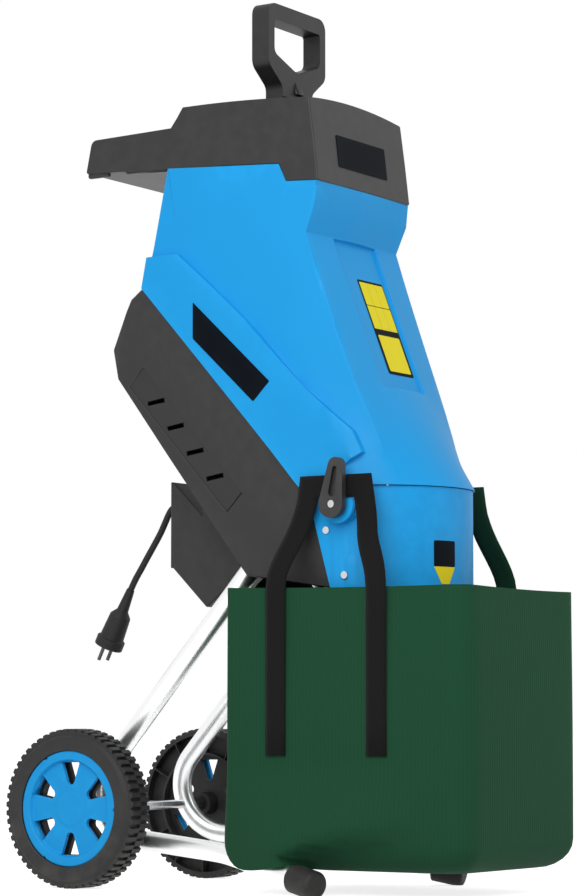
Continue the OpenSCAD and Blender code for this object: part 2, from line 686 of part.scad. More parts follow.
round_at = [[seam_z, 1], [seam_z + 35, 0.9], [seam_z + 75, 0.62], [fold_z, 0.3], [seam_z + 205, 0.26],
    [seam_z + 269, 0.22], [waist_z, 0.16], [brow_z, 0.08], [loft_top, 0.08]];
loft_levels = [for (h = [0, 18, 35, 55, 75, 100, 131, 205, 269]) seam_z + h];
arc_steps = 9;

// Ring of the hopper at height z, grown outwards by g
function hopper_ring(z, g, at = undef) = let (
    h = is_undef(at) ? z : at,
    hw = lookup(h, half_width_at) + g, dp = lookup(h, depth_at) + g,
    mid = lookup(h, front_at) + lookup(h, depth_at), back = lookup(h, back_at) + g,
    k = lookup(h, round_at), edge = atan2(hw, dp))
    concat([for (i = [-arc_steps:arc_steps]) let (
        t = i / arc_steps, third = 1 / 3,
        th = abs(t) <= third ? edge * t / third
            : sign(t) * (edge + (90 - edge) * (abs(t) - third) / (1 - third)),
        flat = abs(th) <= edge + 0.001,
        rx = flat ? dp * tan(th) : sign(th) * hw, ry = flat ? -dp : -hw / tan(abs(th)))
        [rx + (hw * sin(th) - rx) * k, mid + ry + (-dp * cos(th) - ry) * k, z]],
        [[hw, back, z], [-hw, back, z]]);
module hopper_loft(g, under, over) loft(concat(
    [hopper_ring(seam_z - under, g, seam_z)],
    [for (z = loft_levels) if (under > 0 || z > seam_z) hopper_ring(z, g)],
    [for (z = [waist_z, brow_z, rim_z, loft_top + over]) hopper_ring(z, g, min(z, loft_top))]));
band_outline = [[split_y - 8, split_z + 40], [split_y, split_z], on_split(split_len, 0),
    [skirt_mid_y + 10, seam_z], [-400, seam_z + 40], [-387, seam_z + 67], [-315, seam_z + 128],
    [-226, seam_z + 222], [-128, seam_z + 306]];
// Everything that isn't hopper: the housing's side of the split and below the seam
below_split = [on_split(-90, body_gap), on_split(split_len, body_gap),
    on_split(split_len, body_gap) + [-3, -3], [on_split(split_len, 0)[0] - 4, seam_z], [-far, seam_z],
    [-far, 0], [100, 0], [100, on_split(-90, 0)[1]]];
// Lower edge of the cover from the back to the front of the hopper
cover_edge = [[tray_y + 20, rim_z + 43], [split_y - 36, rim_z + 37], [-278, rim_z + 26],
    [-289, rim_z + 3], [rim_y, rim_z], [rim_y - 20, rim_z]];
above_edge = concat(cover_edge, [[rim_y - 20, crown_z + 50], [tray_y + 20, crown_z + 50]]);
// Sunk panel on the flat of the front
panel_half = 50;
panel_deep = 6;
panel_len = 205;
front_lean = atan2(waist_y - fold_y, waist_z - fold_z);
module front_panel(g) translate([0, waist_y, waist_z]) rotate([-front_lean, 0, 0])
    translate([-panel_half - g, -20, -panel_len - g])
        cube([2 * (panel_half + g), 20 + panel_deep + g, panel_len + 2 * g]);
ear_y = lever_y + 15;
ear_size = [30, 38];
ear_x = [skirt_r - 3, skirt_r];
module hopper_knuckle() split_frame() translate([0, -hinge_u, hinge_w]) {
    along_x() cylinder(r = knuckle_r, h = 2 * knuckle_x, center = true);
    across(2 * knuckle_x) polygon([[knuckle_r - 0.5, 0], [0, knuckle_r], [-7, 10], [9, 36], [17, 36]]);
}
module hopper_shell() color(blue) difference() {
    union() {
        difference() {
            union() {
                hopper_loft(0, 0, 0);
                intersection() {
                    hopper_loft(band_proud, 0, 0);
                    across(hopper_w + 2 * band_proud) polygon(band_outline);
                }
            }
            difference() {
                hopper_loft(-shell_wall, 20, 20);
                front_panel(shell_wall);
            }
            front_panel(0);
            across(far) polygon(below_split);
            across(far) polygon(above_edge);
        }
        hopper_knuckle();
        translate([-ear_x[1], ear_y - ear_size[0], seam_z + 5 - ear_size[1]])
            cube([ear_x[1] - ear_x[0], ear_size[0], ear_size[1]]);
    }
    translate([0, hinge_at[0], hinge_at[1]]) along_x()
        cylinder(r = pin_r + run_gap, h = far, center = true);
}

// Cover with the feed tray behind and the pusher's slot on top
cover_half = hopper_w / 2;
tray_top = rim_z + 89;
tray_floor = rim_z + 43;
step_y = split_y - 41;
arch_r = (pow(cover_half, 2) + pow(crown_rise, 2)) / (2 * crown_rise);
pusher_y = -222;
slot_gap = 0.4;
collar_deep = 26;
collar_wall = 4;
side_top = crown_z - crown_rise + 2;
roof_y = step_y - 18;
cover_outline = rounded([[tray_y, tray_floor, 3], [tray_y - 9, tray_top - 3, 9], [step_y, tray_top, 0],
    [roof_y, side_top, 0], [roof_y, crown_z + 5, 0], [rim_y + 17, crown_z + 5, 0], [rim_y, rim_z, 0],
    [-289, rim_z + 3, 0], [-278, rim_z + 26, 0], [split_y - 36, rim_z + 37, 0]]);
module arch(d) translate([0, far / 2, crown_z - arch_r]) rotate([90, 0, 0])
    cylinder(r = arch_r - d, h = 2 * far, $fn = 180);
mouth_half = cover_half - 14;
mouth_low = tray_floor + shell_wall - 1;
// Outline of the pusher from above, set off by d
module slot_plan(d) translate([-blade_w / 2 - d, pusher_y - grip_t / 2 - d])
    square([blade_w + 2 * d, grip_t + 2 * d]);
module hopper_cover() color(black) difference() {
    union() {
        difference() {
            intersection() {
                across(2 * cover_half) polygon(cover_outline);
                arch(0);
            }
            intersection() {
                across(2 * (cover_half - shell_wall)) polygon([
                    [step_y + 2, rim_z - 20], [step_y + 2, tray_top - shell_wall],
                    [roof_y - shell_wall, side_top - 2], [roof_y - shell_wall, crown_z],
                    [rim_y + 18 + shell_wall, crown_z], [rim_y + shell_wall, rim_z - 20]]);
                arch(shell_wall);
            }
            across(2 * (cover_half - shell_wall)) polygon([
                [step_y + 20, mouth_low], [step_y + 20, tray_top + 9], [tray_y - 8, tray_top + 9],
                [tray_y - 4, tray_floor + 14], [tray_y - 14, tray_floor + shell_wall]]);
            across(2 * mouth_half) polygon([
                [step_y - 40, mouth_low], [step_y - 40, side_top - 6], [step_y - 14, side_top - 6],
                [step_y + 30, tray_top + 6], [step_y + 30, mouth_low]]);
        }
        translate([0, 0, crown_z - collar_deep - 4]) linear_extrude(collar_deep)
            slot_plan(slot_gap + collar_wall);
        both_sides() for (y = [[tray_y - 34, tray_y - 1], [step_y + 10, tray_y - 62]])
            translate([cover_half - 9, y[0], tray_floor - 6]) cube([7, y[1] - y[0], 7]);
    }
    linear_extrude(2 * far) slot_plan(slot_gap);
}

// Pusher: a ribbed blade under a D grip
grip_base = crown_z + 2;
grip_half = grip_w / 2;
grip_bar = 13;
grip_top_bar = 23;
module plunger() color(black) {
    rib = 5;
    blade_low = grip_base - blade_len;
    translate([0, pusher_y + grip_t / 2, 0]) rotate([90, 0, 0]) linear_extrude(grip_t) difference() {
        polygon(rounded([[-blade_w / 2, grip_base - 8, 0], [blade_w / 2, grip_base - 8, 0],
            [blade_w / 2, grip_base + 6, 12], [grip_half, grip_base + 30, 16],
            [grip_half, grip_base + grip_h - 2, 15], [-grip_half, grip_base + grip_h - 2, 15],
            [-grip_half, grip_base + 30, 16], [-blade_w / 2, grip_base + 6, 12]]));
        polygon(rounded([[0, grip_base + 27, 30], [grip_half - grip_bar, grip_base + 46, 10],
            [grip_half - grip_bar, grip_base + grip_h - grip_top_bar, 4],
            [grip_bar - grip_half, grip_base + grip_h - grip_top_bar, 4],
            [grip_bar - grip_half, grip_base + 46, 10]]));
    }
    translate([-blade_w / 2, pusher_y - rib / 2, blade_low]) cube([blade_w, rib, blade_len]);
    for (x = [-blade_w / 2, -rib / 2, blade_w / 2 - rib])
        translate([x, pusher_y - grip_t / 2 + 0.5, blade_low]) cube([rib, grip_t - 1, blade_len]);
    translate([-blade_w / 2, pusher_y - grip_t / 2, blade_low]) cube([blade_w, grip_t, 8]);
    for (s = [0, 1]) translate([0, pusher_y, 0]) mirror([0, s, 0]) across(12)
        polygon([[grip_t / 2 - 0.5, crown_z + 0.3], [grip_t / 2 + 7, crown_z + 0.3],
            [grip_t / 2 - 0.5, crown_z + 19]]);
}

// Inside the hopper: a sloping baffle over the motor and a plate with the feed window
throat_w = 19;
throat_t = 3;
throat_u = [200, 345];
window = [96, 72];
window_x = -72;
inner_half = hopper_w / 2 - shell_wall - body_gap / 2;
baffle_top = [split_y - 29.5, split_z + 100];
module feed_baffle() color(blue) across(2 * inner_half) polygon([
    baffle_top, baffle_top - [4, 0], on_split(throat_u[0], throat_w + throat_t + 0.5) - [1, 0],
    on_split(throat_u[0] - 4, throat_w + throat_t)]);
module throat_plate() color(blue) split_frame() difference() {
    translate([-inner_half, -throat_u[1], throat_w])
        cube([2 * inner_half, throat_u[1] - throat_u[0], throat_t]);
    translate([window_x, -throat_u[0] - 10 - window[1], 0]) cube([window[0], window[1], 60]);
    counter_screw_places() cylinder(r = screw_r + seat_gap, h = 60);
}
counter_t = 4;
counter_w = 22;
counter_x = window_x + window[0] + counter_w / 2;
counter_u = throat_u[0] + 10 + window[1] / 2;
module counter_screw_places() for (v = [-25, 25]) translate([counter_x, -counter_u - v, 0]) children();
module counter_blade() color(steel) split_frame() difference() {
    translate([counter_x - counter_w / 2, -counter_u - window[1] / 2, throat_w - counter_t])
        cube([counter_w, window[1], counter_t]);
    counter_screw_places() cylinder(r = screw_r + seat_gap, h = 60);
}
module counter_blade_screws() color(steel) split_frame() counter_screw_places() {
    translate([0, 0, throat_w + throat_t]) cylinder(r = 2 * screw_r, h = 3);
    translate([0, 0, throat_w - counter_t + 0.5]) cylinder(r = screw_r, h = counter_t + throat_t);
}

// Chute in front of the housing, with the lock boss and the far strap boss
chute_r = skirt_r - shell_wall - 1.2;
chute_top = seam_z - body_gap;
chute_low = seam_z - 150;
boss_r = 23;
boss_x = skirt_r + 6;
lever_shaft_r = 8;
chute_screw_at = [[lever_y + 21, seam_z - 54], [lever_y - 4, seam_z - 109]];
module chute_plan(d) {
    translate([0, skirt_mid_y]) circle(chute_r - d, $fn = 96);
    translate([-chute_r + d, skirt_mid_y]) square([2 * (chute_r - d), 80]);
}
// Space in front of the housing's nose, set off by d
module chute_front(d) across(far) polygon([
    front_line[0] + [-d, 20], front_line[1] + [-d, 0], front_line[2] + [-d, 0],
    front_line[2] + (front_line[2] - front_line[1]) * 0.6 + [-d, 0], [-far, 0], [-far, far],
    [front_line[0][0] - d, far]]);
module chute() color(blue) difference() {
    union() {
        difference() {
            intersection() {
                translate([0, 0, chute_low]) linear_extrude(chute_top - chute_low) chute_plan(0);
                chute_front(body_gap);
            }
            intersection() {
                translate([0, 0, chute_low - 1]) linear_extrude(chute_top - chute_low + 2)
                    chute_plan(shell_wall);
                chute_front(body_gap + shell_wall);
            }
            split_frame() translate([-disc_d / 2 - 8, -split_len - 90, -2])
                cube([disc_d + 16, 100, 60]);
            split_frame() translate([-far / 2, -split_len - 30, 8]) cube([far, 60, 60]);
        }
        both_sides() intersection() {
            translate([0, lever_y, lever_z]) along_x() cylinder(r = boss_r, h = boss_x);
            difference() {
                across(far) square([2 * far, 2 * far], center = true);
                translate([0, 0, chute_low - 1]) linear_extrude(far) chute_plan(1);
            }
        }
    }
    across_from(-ear_x[1] - body_gap, -ear_x[0] + body_gap) polygon([
        [ear_y + 1, lever_z - 10], [ear_y - 50, lever_z - 60], [ear_y - 110, lever_z + 60],
        [ear_y + 40, lever_z + 60], [ear_y + 40, lever_z + 30]]);
    translate([0, lever_y, lever_z]) along_x() {
        translate([0, 0, -boss_x - 1]) cylinder(r = lever_shaft_r + run_gap, h = boss_x - ear_x[1] + 1);
        translate([0, 0, ear_x[1]]) cylinder(r = lever_shaft_r + seat_gap, h = boss_x);
    }
    both_sides() {
        across_from(cheek_x[0] - body_gap, cheek_x[1] + body_gap)
            polygon(nose_strip(-cheek_y - 1, 30, 5));
        for (p = chute_screw_at) translate([0, p[0], p[1]]) along_x()
            cylinder(r = screw_r + seat_gap, h = far);
    }
}
module chute_screws() color(steel) both_sides() for (p = chute_screw_at)
    translate([0, p[0], p[1]]) along_x() {
        head_r = 4.5;
        reach = sqrt(pow(chute_r, 2) - pow(min(0, p[0] + head_r - skirt_mid_y), 2));
        translate([0, 0, reach]) cylinder(r = head_r, h = 2.5);
        translate([0, 0, cheek_x[0] + 0.5]) cylinder(r = screw_r, h = reach - cheek_x[0]);
    }
module strap_peg() color(black) translate([0, lever_y, lever_z]) along_x() {
    translate([0, 0, ear_x[1] + 1]) cylinder(r = lever_shaft_r, h = boss_x - ear_x[1] + 5);
    translate([0, 0, boss_x + strap_t + 2]) cylinder(r = 14, h = 5);
}

// Lock lever on the near side
lever_x = boss_x + strap_t + 4;
module lever_frame() translate([0, lever_y, lever_z]) mirror([1, 0, 0])
    rotate([lever_lean, 0, 0]) children();
module lock_lever() color(black) lever_frame() difference() {
    union() {
        across_from(lever_x, lever_x + lever_t) hull() {
            circle(lever_hub_d / 2, $fn = 40);
            translate([0, lever_len - 10]) circle(10, $fn = 32);
        }
        translate([ear_x[1] + body_gap, 0, 0]) along_x()
            cylinder(r = lever_shaft_r, h = lever_x - ear_x[1] - body_gap + 1);
    }
    across_from(lever_x + lever_t - 5, lever_x + lever_t + 1) hull() {
        translate([0, 14]) circle(5, $fn = 24);
        translate([0, lever_len - 14]) circle(3, $fn = 24);
    }
    translate([lever_x + lever_t - 4, 0, 0]) along_x() cylinder(r = 5, h = 10);
    translate([lever_x - 2, 0, 0]) along_x() cylinder(r = 3 + seat_gap, h = 30);
}
module lock_screw() color(steel) lever_frame() along_x() {
    translate([0, 0, lever_x + lever_t - 4]) cylinder(r = 4.6, h = 3);
    translate([0, 0, lever_x - 1.5]) cylinder(r = 3, h = lever_t - 2);
}

// Switch box under the housing, with its plate towards the user
box_back = -69;
box_outline = [[box_back - switch_wall, 417], [box_back - switch_wall - 49, 369],
    on_split(170, -housing_depth - 0.3), on_split(235, -housing_depth - 5.3), [-180, 296], [-125, 254],
    [box_back - switch_wall, 306]];
box_hollow = [[box_back + 1, 410], [box_back - 40, 372], [-150, 345], [-160, 310], [-125, 262],
    [box_back + 1, 312]];
box_half = switch_w / 2;
gland_z = 388;
button_z = 345;
button_x = 14;
button_size = [18, 14];
reset_z = 318;
reset_r = 5;
button_out = button_travel + 2;
module switch_box() color(black) difference() {
    across(switch_w) polygon(box_outline);
    across(switch_w - 2 * switch_wall) polygon(box_hollow);
}
module button_holes(d) {
    for (x = [-button_x, button_x]) translate([x, 0, button_z])
        cube([button_size[0] + 2 * d, 200, button_size[1] + 2 * d], center = true);
    translate([0, box_back + 20, reset_z]) rotate([90, 0, 0]) cylinder(r = reset_r + d, h = 60);
}
module switch_plate() color(black) difference() {
    translate([-box_half, box_back - switch_wall, 306]) cube([switch_w, switch_wall, 111]);
    button_holes(body_gap / 2);
    translate([0, box_back + 20, gland_z]) rotate([90, 0, 0]) cylinder(r = cord_d / 2 + 2, h = 60);
}
module push_button(x) translate([x, box_back - switch_wall, button_z]) rotate([90, 0, 0]) {
    translate([0, 0, -switch_wall - button_out]) linear_extrude(switch_wall + 4 + button_out)
        square(button_size, center = true);
    translate([0, 0, body_gap]) linear_extrude(4) square(button_size + [4, 4], center = true);
}
module on_button() color("green") push_button(-button_x);
module off_button() color("red") push_button(button_x);
module reset_button() color(black) translate([0, box_back, reset_z]) rotate([90, 0, 0]) {
    translate([0, 0, -button_out + 1]) cylinder(r = reset_r, h = switch_wall + 4 + button_out);
    translate([0, 0, switch_wall + body_gap]) cylinder(r = reset_r + 2, h = 4);
}

// Mains lead: its route in the middle plane, from the gland down to the plug
gland_len = 24;
cord_route = [[-45, 388], [-38, 388], [-28, 385], [-18, 378], [-9, 367], [-1, 353], [6, 338], [12, 322],
    [17, 307], [21, 296], [27, 282]];
plug_dir = unit([72 - 27, 190 - 282]);
plug_from = [27, 282];
boot_len = 30;
plug_len = 53;
module cord_gland() color(rubber) difference() {
    translate([0, box_back, gland_z]) rotate([-90, 0, 0]) {
        cylinder(r1 = cord_d / 2 + 5, r2 = cord_d / 2 + 2, h = gland_len);
        translate([0, 0, -switch_wall - 3])
            cylinder(r = cord_d / 2 + 2 - seat_gap, h = switch_wall + 4);
    }
    translate([0, box_back - 20, gland_z]) rotate([-90, 0, 0]) cylinder(r = cord_d / 2, h = 19);
}
cord_sides = 10;
// Rings square to the route at each of its points
function cord_ring(i) = let (n = len(cord_route), p = cord_route[i],
    t = unit(cord_route[min(i + 1, n - 1)] - cord_route[max(i - 1, 0)]), s = left_of(t))
    [for (k = [0:cord_sides - 1]) let (a = -360 * k / cord_sides)
        [cos(a) * cord_d / 2, p[0] + s[0] * sin(a) * cord_d / 2, p[1] + s[1] * sin(a) * cord_d / 2]];
module power_cord() color(rubber) loft([for (i = [0:len(cord_route) - 1]) cord_ring(i)]);
module at_plug() translate([0, plug_from[0], plug_from[1]])
    rotate([atan2(plug_dir[1], plug_dir[0]) - 90, 0, 0]) children();
module plug_body() color(rubber) at_plug() difference() {
    rotate_extrude() polygon(rounded([
        [0, 0.2, 0], [cord_d / 2 + 1.5, 0.2, 0], [cord_d / 2 + 4, boot_len, 0],
        [plug_d / 2 - 5, boot_len + 8, 4], [plug_d / 2 - 3, plug_face - 14, 2],
        [plug_d / 2, plug_face - 12, 1], [plug_d / 2, plug_face, 1], [0, plug_face, 0]]));
    pin_places() translate([0, 0, plug_face - root_len - 1])
        cylinder(r = root_r + seat_gap, h = root_len + 10);
}
pin_pitch = 19;
// The pins' thicker roots are held in the plug
root_r = pin_d / 2 + 1;
root_len = 11;
plug_face = boot_len + plug_len;
module pin_places() for (x = [-pin_pitch / 2, pin_pitch / 2]) translate([x, 0, 0]) children();
module plug_pins() color(silver) at_plug() pin_places() {
    translate([0, 0, plug_face - root_len]) cylinder(r = root_r, h = root_len);
    translate([0, 0, plug_face - 1]) cylinder(r = pin_d / 2, h = pin_len + 1);
}

// Catch bag and its straps
bag_half = bag_w / 2;
bag_top = seam_z - 125;
bag_low = bag_top - bag_h;
bag_back = bag_front + bag_depth;
bag_round = 35;
bag_corner = [28, 14];
function bag_ring(z, d) = [for (p = rounded([
    [-bag_half + d, bag_front + d, bag_corner[0]], [bag_half - d, bag_front + d, bag_corner[0]],
    [bag_half - d, bag_back - d, bag_corner[1]], [-bag_half + d, bag_back - d, bag_corner[1]]], 4))
    [p[0], p[1], z]];
module bag_form(d, over) loft(concat(
    [for (a = [90:-18:0]) let (r = bag_round - d)
        bag_ring(bag_low + bag_round - r * sin(a), d + r * (1 - cos(a)))],
    [bag_ring(bag_top + over, d)]));
strap_low = 68;
leg_room = 1.5;
flare_y = [foot_end[1] + foot_len + 16, bag_back - bag_corner[1]];
flare_front = bag_front + 60;
flare_top = strap_low - 6;
// Room for a lower leg and its foot cap, d around them, carried down by drop
module over_leg(d, drop) for (leg = [[knee - leg_low * 60, leg_low, 60, tube_r],
        [knee, leg_foot, foot_run, tube_r],
        [foot_end - leg_foot * (foot_len + leg_room), leg_foot, foot_len + leg_room, foot_d / 2]])
    hull() for (z = [0, -drop]) translate([0, 0, z]) aim(leg[0], leg[1])
        cylinder(r = leg[3] + d, h = leg[2]);
// Lower part of one side, spread by the leg it hangs over, set in by d
module bag_flare(d) hull() {
    intersection() {
        over_leg(leg_room + bag_wall - d, 60);
        translate([0, flare_y[0] + d, bag_low + d])
            cube([far, flare_y[1] - flare_y[0] - 2 * d, tube_r + leg_room]);
    }
    translate([bag_half - 12 - d, flare_front, flare_top]) cube([12, flare_y[1] - flare_front, 2]);
}
module bag_body(d, over) {
    bag_form(d, over);
    both_sides() bag_flare(d);
}
// The bag hangs over the lower legs, which push its bottom up
module catch_bag() color(green) difference() {
    bag_body(0, 0);
    difference() {
        bag_body(bag_wall, 10);
        both_sides() over_leg(leg_room + bag_wall, 60);
    }
    both_sides() over_leg(leg_room, 60);
}
strap_legs = [[-297, -331], [-440, -400]];
strap_flare = 350;
band_low = lever_z + lever_shaft_r + 1;
// A short slab of strap, t thick outwards, at one place of its path
module strap_slab(x, y, z, h) translate([x, y - strap_w / 2, z]) cube([strap_t, strap_w, h]);
module strap() {
    on_bag = bag_half + 0.3;
    on_peg = boss_x + 0.3;
    for (leg = strap_legs) {
        strap_slab(on_bag, leg[0], strap_low, bag_top + 4 - strap_low);
        hull() {
            strap_slab(on_bag, leg[0], bag_top + 2, 2);
            strap_slab(on_peg, (leg[0] + leg[1]) / 2, strap_flare - 4, 2);
        }
        hull() {
            strap_slab(on_peg, (leg[0] + leg[1]) / 2, strap_flare - 4, 2);
            strap_slab(on_peg, leg[1], band_low, strap_w - 2);
        }
    }
    translate([on_peg, strap_legs[1][1], band_low])
        cube([strap_t, strap_legs[0][1] - strap_legs[1][1], strap_w - 2]);
}
module left_strap() color(rubber) mirror([1, 0, 0]) strap();
module right_strap() color(green) strap();

place() left_frame_tube();
place() right_frame_tube();
place() left_foot_cap();
place() right_foot_cap();
place() axle();
place() axle_spacers();
place() axle_clips();
place() frame_screws();
place() left_wheel();
place() left_wheel_trim();
place() right_wheel();
place() right_wheel_trim();
place() motor_housing();
place() base_plate();
place() base_plate_screws();
place() hinge_pin();
place() chute();
place() chute_screws();
place() strap_peg();
place() spindle_bearings();
place() spindle();
place() spindle_pulley();
place() knife_disc();
place() knives();
place() knife_bolts();
place() disc_nut();
place() motor_can();
place() stator();
place() motor_top_bell();
place() motor_bottom_bell();
place() rotor_shaft();
place() armature();
place() commutator();
place() cooling_fan();
place() motor_pulley();
place() drive_belt();
place() hopper_shell();
place() hopper_cover();
place() feed_baffle();
place() throat_plate();
place() counter_blade();
place() counter_blade_screws();
place() plunger();
place() lock_lever();
place() lock_screw();
place() switch_box();
place() switch_plate();
place() on_button();
place() off_button();
place() reset_button();
place() cord_gland();
place() power_cord();
place() plug_body();
place() plug_pins();
place() catch_bag();
place() left_strap();
place() right_strap();
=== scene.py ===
"""Looks for the garden shredder: stage, mains lead, moulded shells, catch bag, straps and plates."""

import json
import math

import bmesh
import bpy
from mathutils import Matrix, Vector
from mathutils.bvhtree import BVHTree

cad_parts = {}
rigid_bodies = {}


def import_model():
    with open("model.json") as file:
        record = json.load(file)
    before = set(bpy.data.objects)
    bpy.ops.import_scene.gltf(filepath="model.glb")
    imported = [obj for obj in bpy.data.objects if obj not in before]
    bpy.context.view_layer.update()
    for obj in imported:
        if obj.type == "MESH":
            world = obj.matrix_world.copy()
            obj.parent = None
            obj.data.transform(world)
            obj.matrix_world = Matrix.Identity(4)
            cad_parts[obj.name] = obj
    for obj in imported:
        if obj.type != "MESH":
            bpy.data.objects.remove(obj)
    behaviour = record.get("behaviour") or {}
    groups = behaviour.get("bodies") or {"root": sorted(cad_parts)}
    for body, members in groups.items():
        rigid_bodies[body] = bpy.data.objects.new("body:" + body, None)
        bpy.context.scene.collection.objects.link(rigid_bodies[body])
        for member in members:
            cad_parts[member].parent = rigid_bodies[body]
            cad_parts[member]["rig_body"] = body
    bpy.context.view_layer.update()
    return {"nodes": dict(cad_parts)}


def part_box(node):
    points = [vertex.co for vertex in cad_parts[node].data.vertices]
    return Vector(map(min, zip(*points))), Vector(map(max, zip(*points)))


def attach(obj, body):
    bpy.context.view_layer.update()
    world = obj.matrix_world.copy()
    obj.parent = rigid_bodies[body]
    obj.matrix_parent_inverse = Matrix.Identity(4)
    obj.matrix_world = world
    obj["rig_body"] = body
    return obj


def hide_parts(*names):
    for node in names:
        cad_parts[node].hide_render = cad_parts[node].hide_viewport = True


bl_info = {
    "name": "Garden Shredder Looks",
    "version": (1, 0, 0),
    "blender": (4, 5, 0),
    "location": "3D View > Sidebar > Shredder",
    "description": "Dresses the solid garden shredder with moulded, woven and metal finishes",
    "category": "Object",
}

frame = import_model()
nodes = frame["nodes"]

# Places are given from the middle of the wheel axle, in millimetres; y runs back and z up
axle_low, axle_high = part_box("axle")
AXLE = (axle_low + axle_high) / 2

# Half the width of the catch bag at its rim, in metres
BAG_HALF = 0.142


def at(x, y, z):
    """A point given from the middle of the axle, in metres in the shared frame."""
    return AXLE + Vector((x, y, z)) * 0.001


def place_of(vertex):
    """A vertex's place from the middle of the axle, in millimetres."""
    return (vertex.co - AXLE) * 1000


# Sizes and colours that a user would change


class ShredderPaint(bpy.types.PropertyGroup):
    """Colours of the finishes."""

    blue: bpy.props.FloatVectorProperty(
        name="Blue shell", description="Hopper, chute and wheel trim", subtype="COLOR",
        size=3, min=0, max=1, default=(0.011, 0.322, 0.728))
    black: bpy.props.FloatVectorProperty(
        name="Black shell", description="Cover, housing, pusher and switch box", subtype="COLOR",
        size=3, min=0, max=1, default=(0.0185, 0.0185, 0.0185))
    green: bpy.props.FloatVectorProperty(
        name="Bag cloth", description="Ribbed cloth of the catch bag", subtype="COLOR",
        size=3, min=0, max=1, default=(0.009, 0.058, 0.026))
    webbing: bpy.props.FloatVectorProperty(
        name="Webbing", description="Strap on the near side of the bag", subtype="COLOR",
        size=3, min=0, max=1, default=(0.005, 0.005, 0.0055))
    yellow: bpy.props.FloatVectorProperty(
        name="Plate yellow", description="Bare yellow plates", subtype="COLOR",
        size=3, min=0, max=1, default=(0.82, 0.70, 0.006))
    tube: bpy.props.FloatVectorProperty(
        name="Tube metal", description="Bent frame tubes", subtype="COLOR",
        size=3, min=0, max=1, default=(0.92, 0.925, 0.93))


class ShredderSizes(bpy.types.PropertyGroup):
    """Sizes of the dressed pieces."""

    edge: bpy.props.FloatProperty(
        name="Moulded edge", description="Rounding of the moulded shells' edges", unit="LENGTH",
        default=0.0013, min=0.0002, max=0.003)
    cord_d: bpy.props.FloatProperty(
        name="Lead diameter", description="Thickness of the mains lead", unit="LENGTH",
        default=0.0086, min=0.005, max=0.01)
    strap_w: bpy.props.FloatProperty(
        name="Strap width", description="Width of the bag's webbing", unit="LENGTH",
        default=0.028, min=0.02, max=0.035)
    strap_t: bpy.props.FloatProperty(
        name="Strap thickness", description="Thickness of the bag's webbing", unit="LENGTH",
        default=0.0017, min=0.001, max=0.003)
    bag_wall: bpy.props.FloatProperty(
        name="Bag wall", description="Thickness of the bag's cloth", unit="LENGTH",
        default=0.0028, min=0.001, max=0.005)
    bag_bulge: bpy.props.FloatProperty(
        name="Bag bulge", description="How far the bag's sides belly out", unit="LENGTH",
        default=0.003, min=0, max=0.01)
    rib_pitch: bpy.props.FloatProperty(
        name="Rib pitch", description="Distance between the ribs of the bag's cloth", unit="LENGTH",
        default=0.0052, min=0.002, max=0.01)


class ShredderStage(bpy.types.PropertyGroup):
    """Camera and light."""

    lens: bpy.props.FloatProperty(
        name="Lens", description="Focal length of the camera", unit="CAMERA",
        default=119.53, min=20, max=300)
    key: bpy.props.FloatProperty(
        name="Key lamp", description="Power of the large lamp on the left", subtype="POWER",
        default=62, min=0)
    fill: bpy.props.FloatProperty(
        name="Fill lamp", description="Power of the lamp on the right", subtype="POWER",
        default=14, min=0)
    sky: bpy.props.FloatProperty(
        name="Sky", description="Strength of the light from all round", default=0.42, min=0, max=2)


# Shader node groups, each built once and placed in several materials


def start_group(name, inputs, outputs):
    """An empty shader group with its named sockets."""
    tree = bpy.data.node_groups.new(name, "ShaderNodeTree")
    for label, value in inputs:
        socket = tree.interface.new_socket(name=label, in_out="INPUT", socket_type="NodeSocketFloat")
        socket.default_value = value
    for label in outputs:
        tree.interface.new_socket(name=label, in_out="OUTPUT", socket_type="NodeSocketFloat")
    return tree, tree.nodes.new("NodeGroupInput"), tree.nodes.new("NodeGroupOutput")


def feed(tree, node, socket, value):
    """Links a socket into a node's input, or sets a plain number there."""
    if isinstance(value, bpy.types.NodeSocket):
        tree.links.new(value, node.inputs[socket])
    else:
        node.inputs[socket].default_value = value


def reckon(tree, operation, first, second=0.0, third=0.0):
    """A Math node's output."""
    node = tree.nodes.new("ShaderNodeMath")
    node.operation = operation
    for index, value in enumerate((first, second, third)):
        feed(tree, node, index, value)
    return node.outputs[0]


def spread(tree, value, low, high, to_low, to_high):
    """Maps a value from one span to another, clamped."""
    node = tree.nodes.new("ShaderNodeMapRange")
    for index, number in enumerate((value, low, high, to_low, to_high)):
        feed(tree, node, index, number)
    return node.outputs[0]


def cloud(tree, vector, scale, detail=2.0, roughness=0.5):
    """A noise value."""
    node = tree.nodes.new("ShaderNodeTexNoise")
    feed(tree, node, "Vector", vector)
    feed(tree, node, "Scale", scale)
    feed(tree, node, "Detail", detail)
    feed(tree, node, "Roughness", roughness)
    return node.outputs["Fac"]


def own_place(tree):
    """The object's own coordinates."""
    return tree.nodes.new("ShaderNodeTexCoord").outputs["Object"]


def build_grain():
    """Fine spark-eroded grain of a moulding, with slow changes of gloss over it."""
    tree, given, out = start_group(
        "Moulded grain", [("Grain scale", 1500.0), ("Flow scale", 7.0)], ["Height", "Flow"])
    place = own_place(tree)
    fine = cloud(tree, place, given.outputs["Grain scale"], 3.0, 0.6)
    slow = cloud(tree, place, given.outputs["Flow scale"], 2.0)
    feed(tree, out, "Height", fine)
    feed(tree, out, "Flow", spread(tree, slow, 0.3, 0.7, 0.0, 1.0))
    return tree


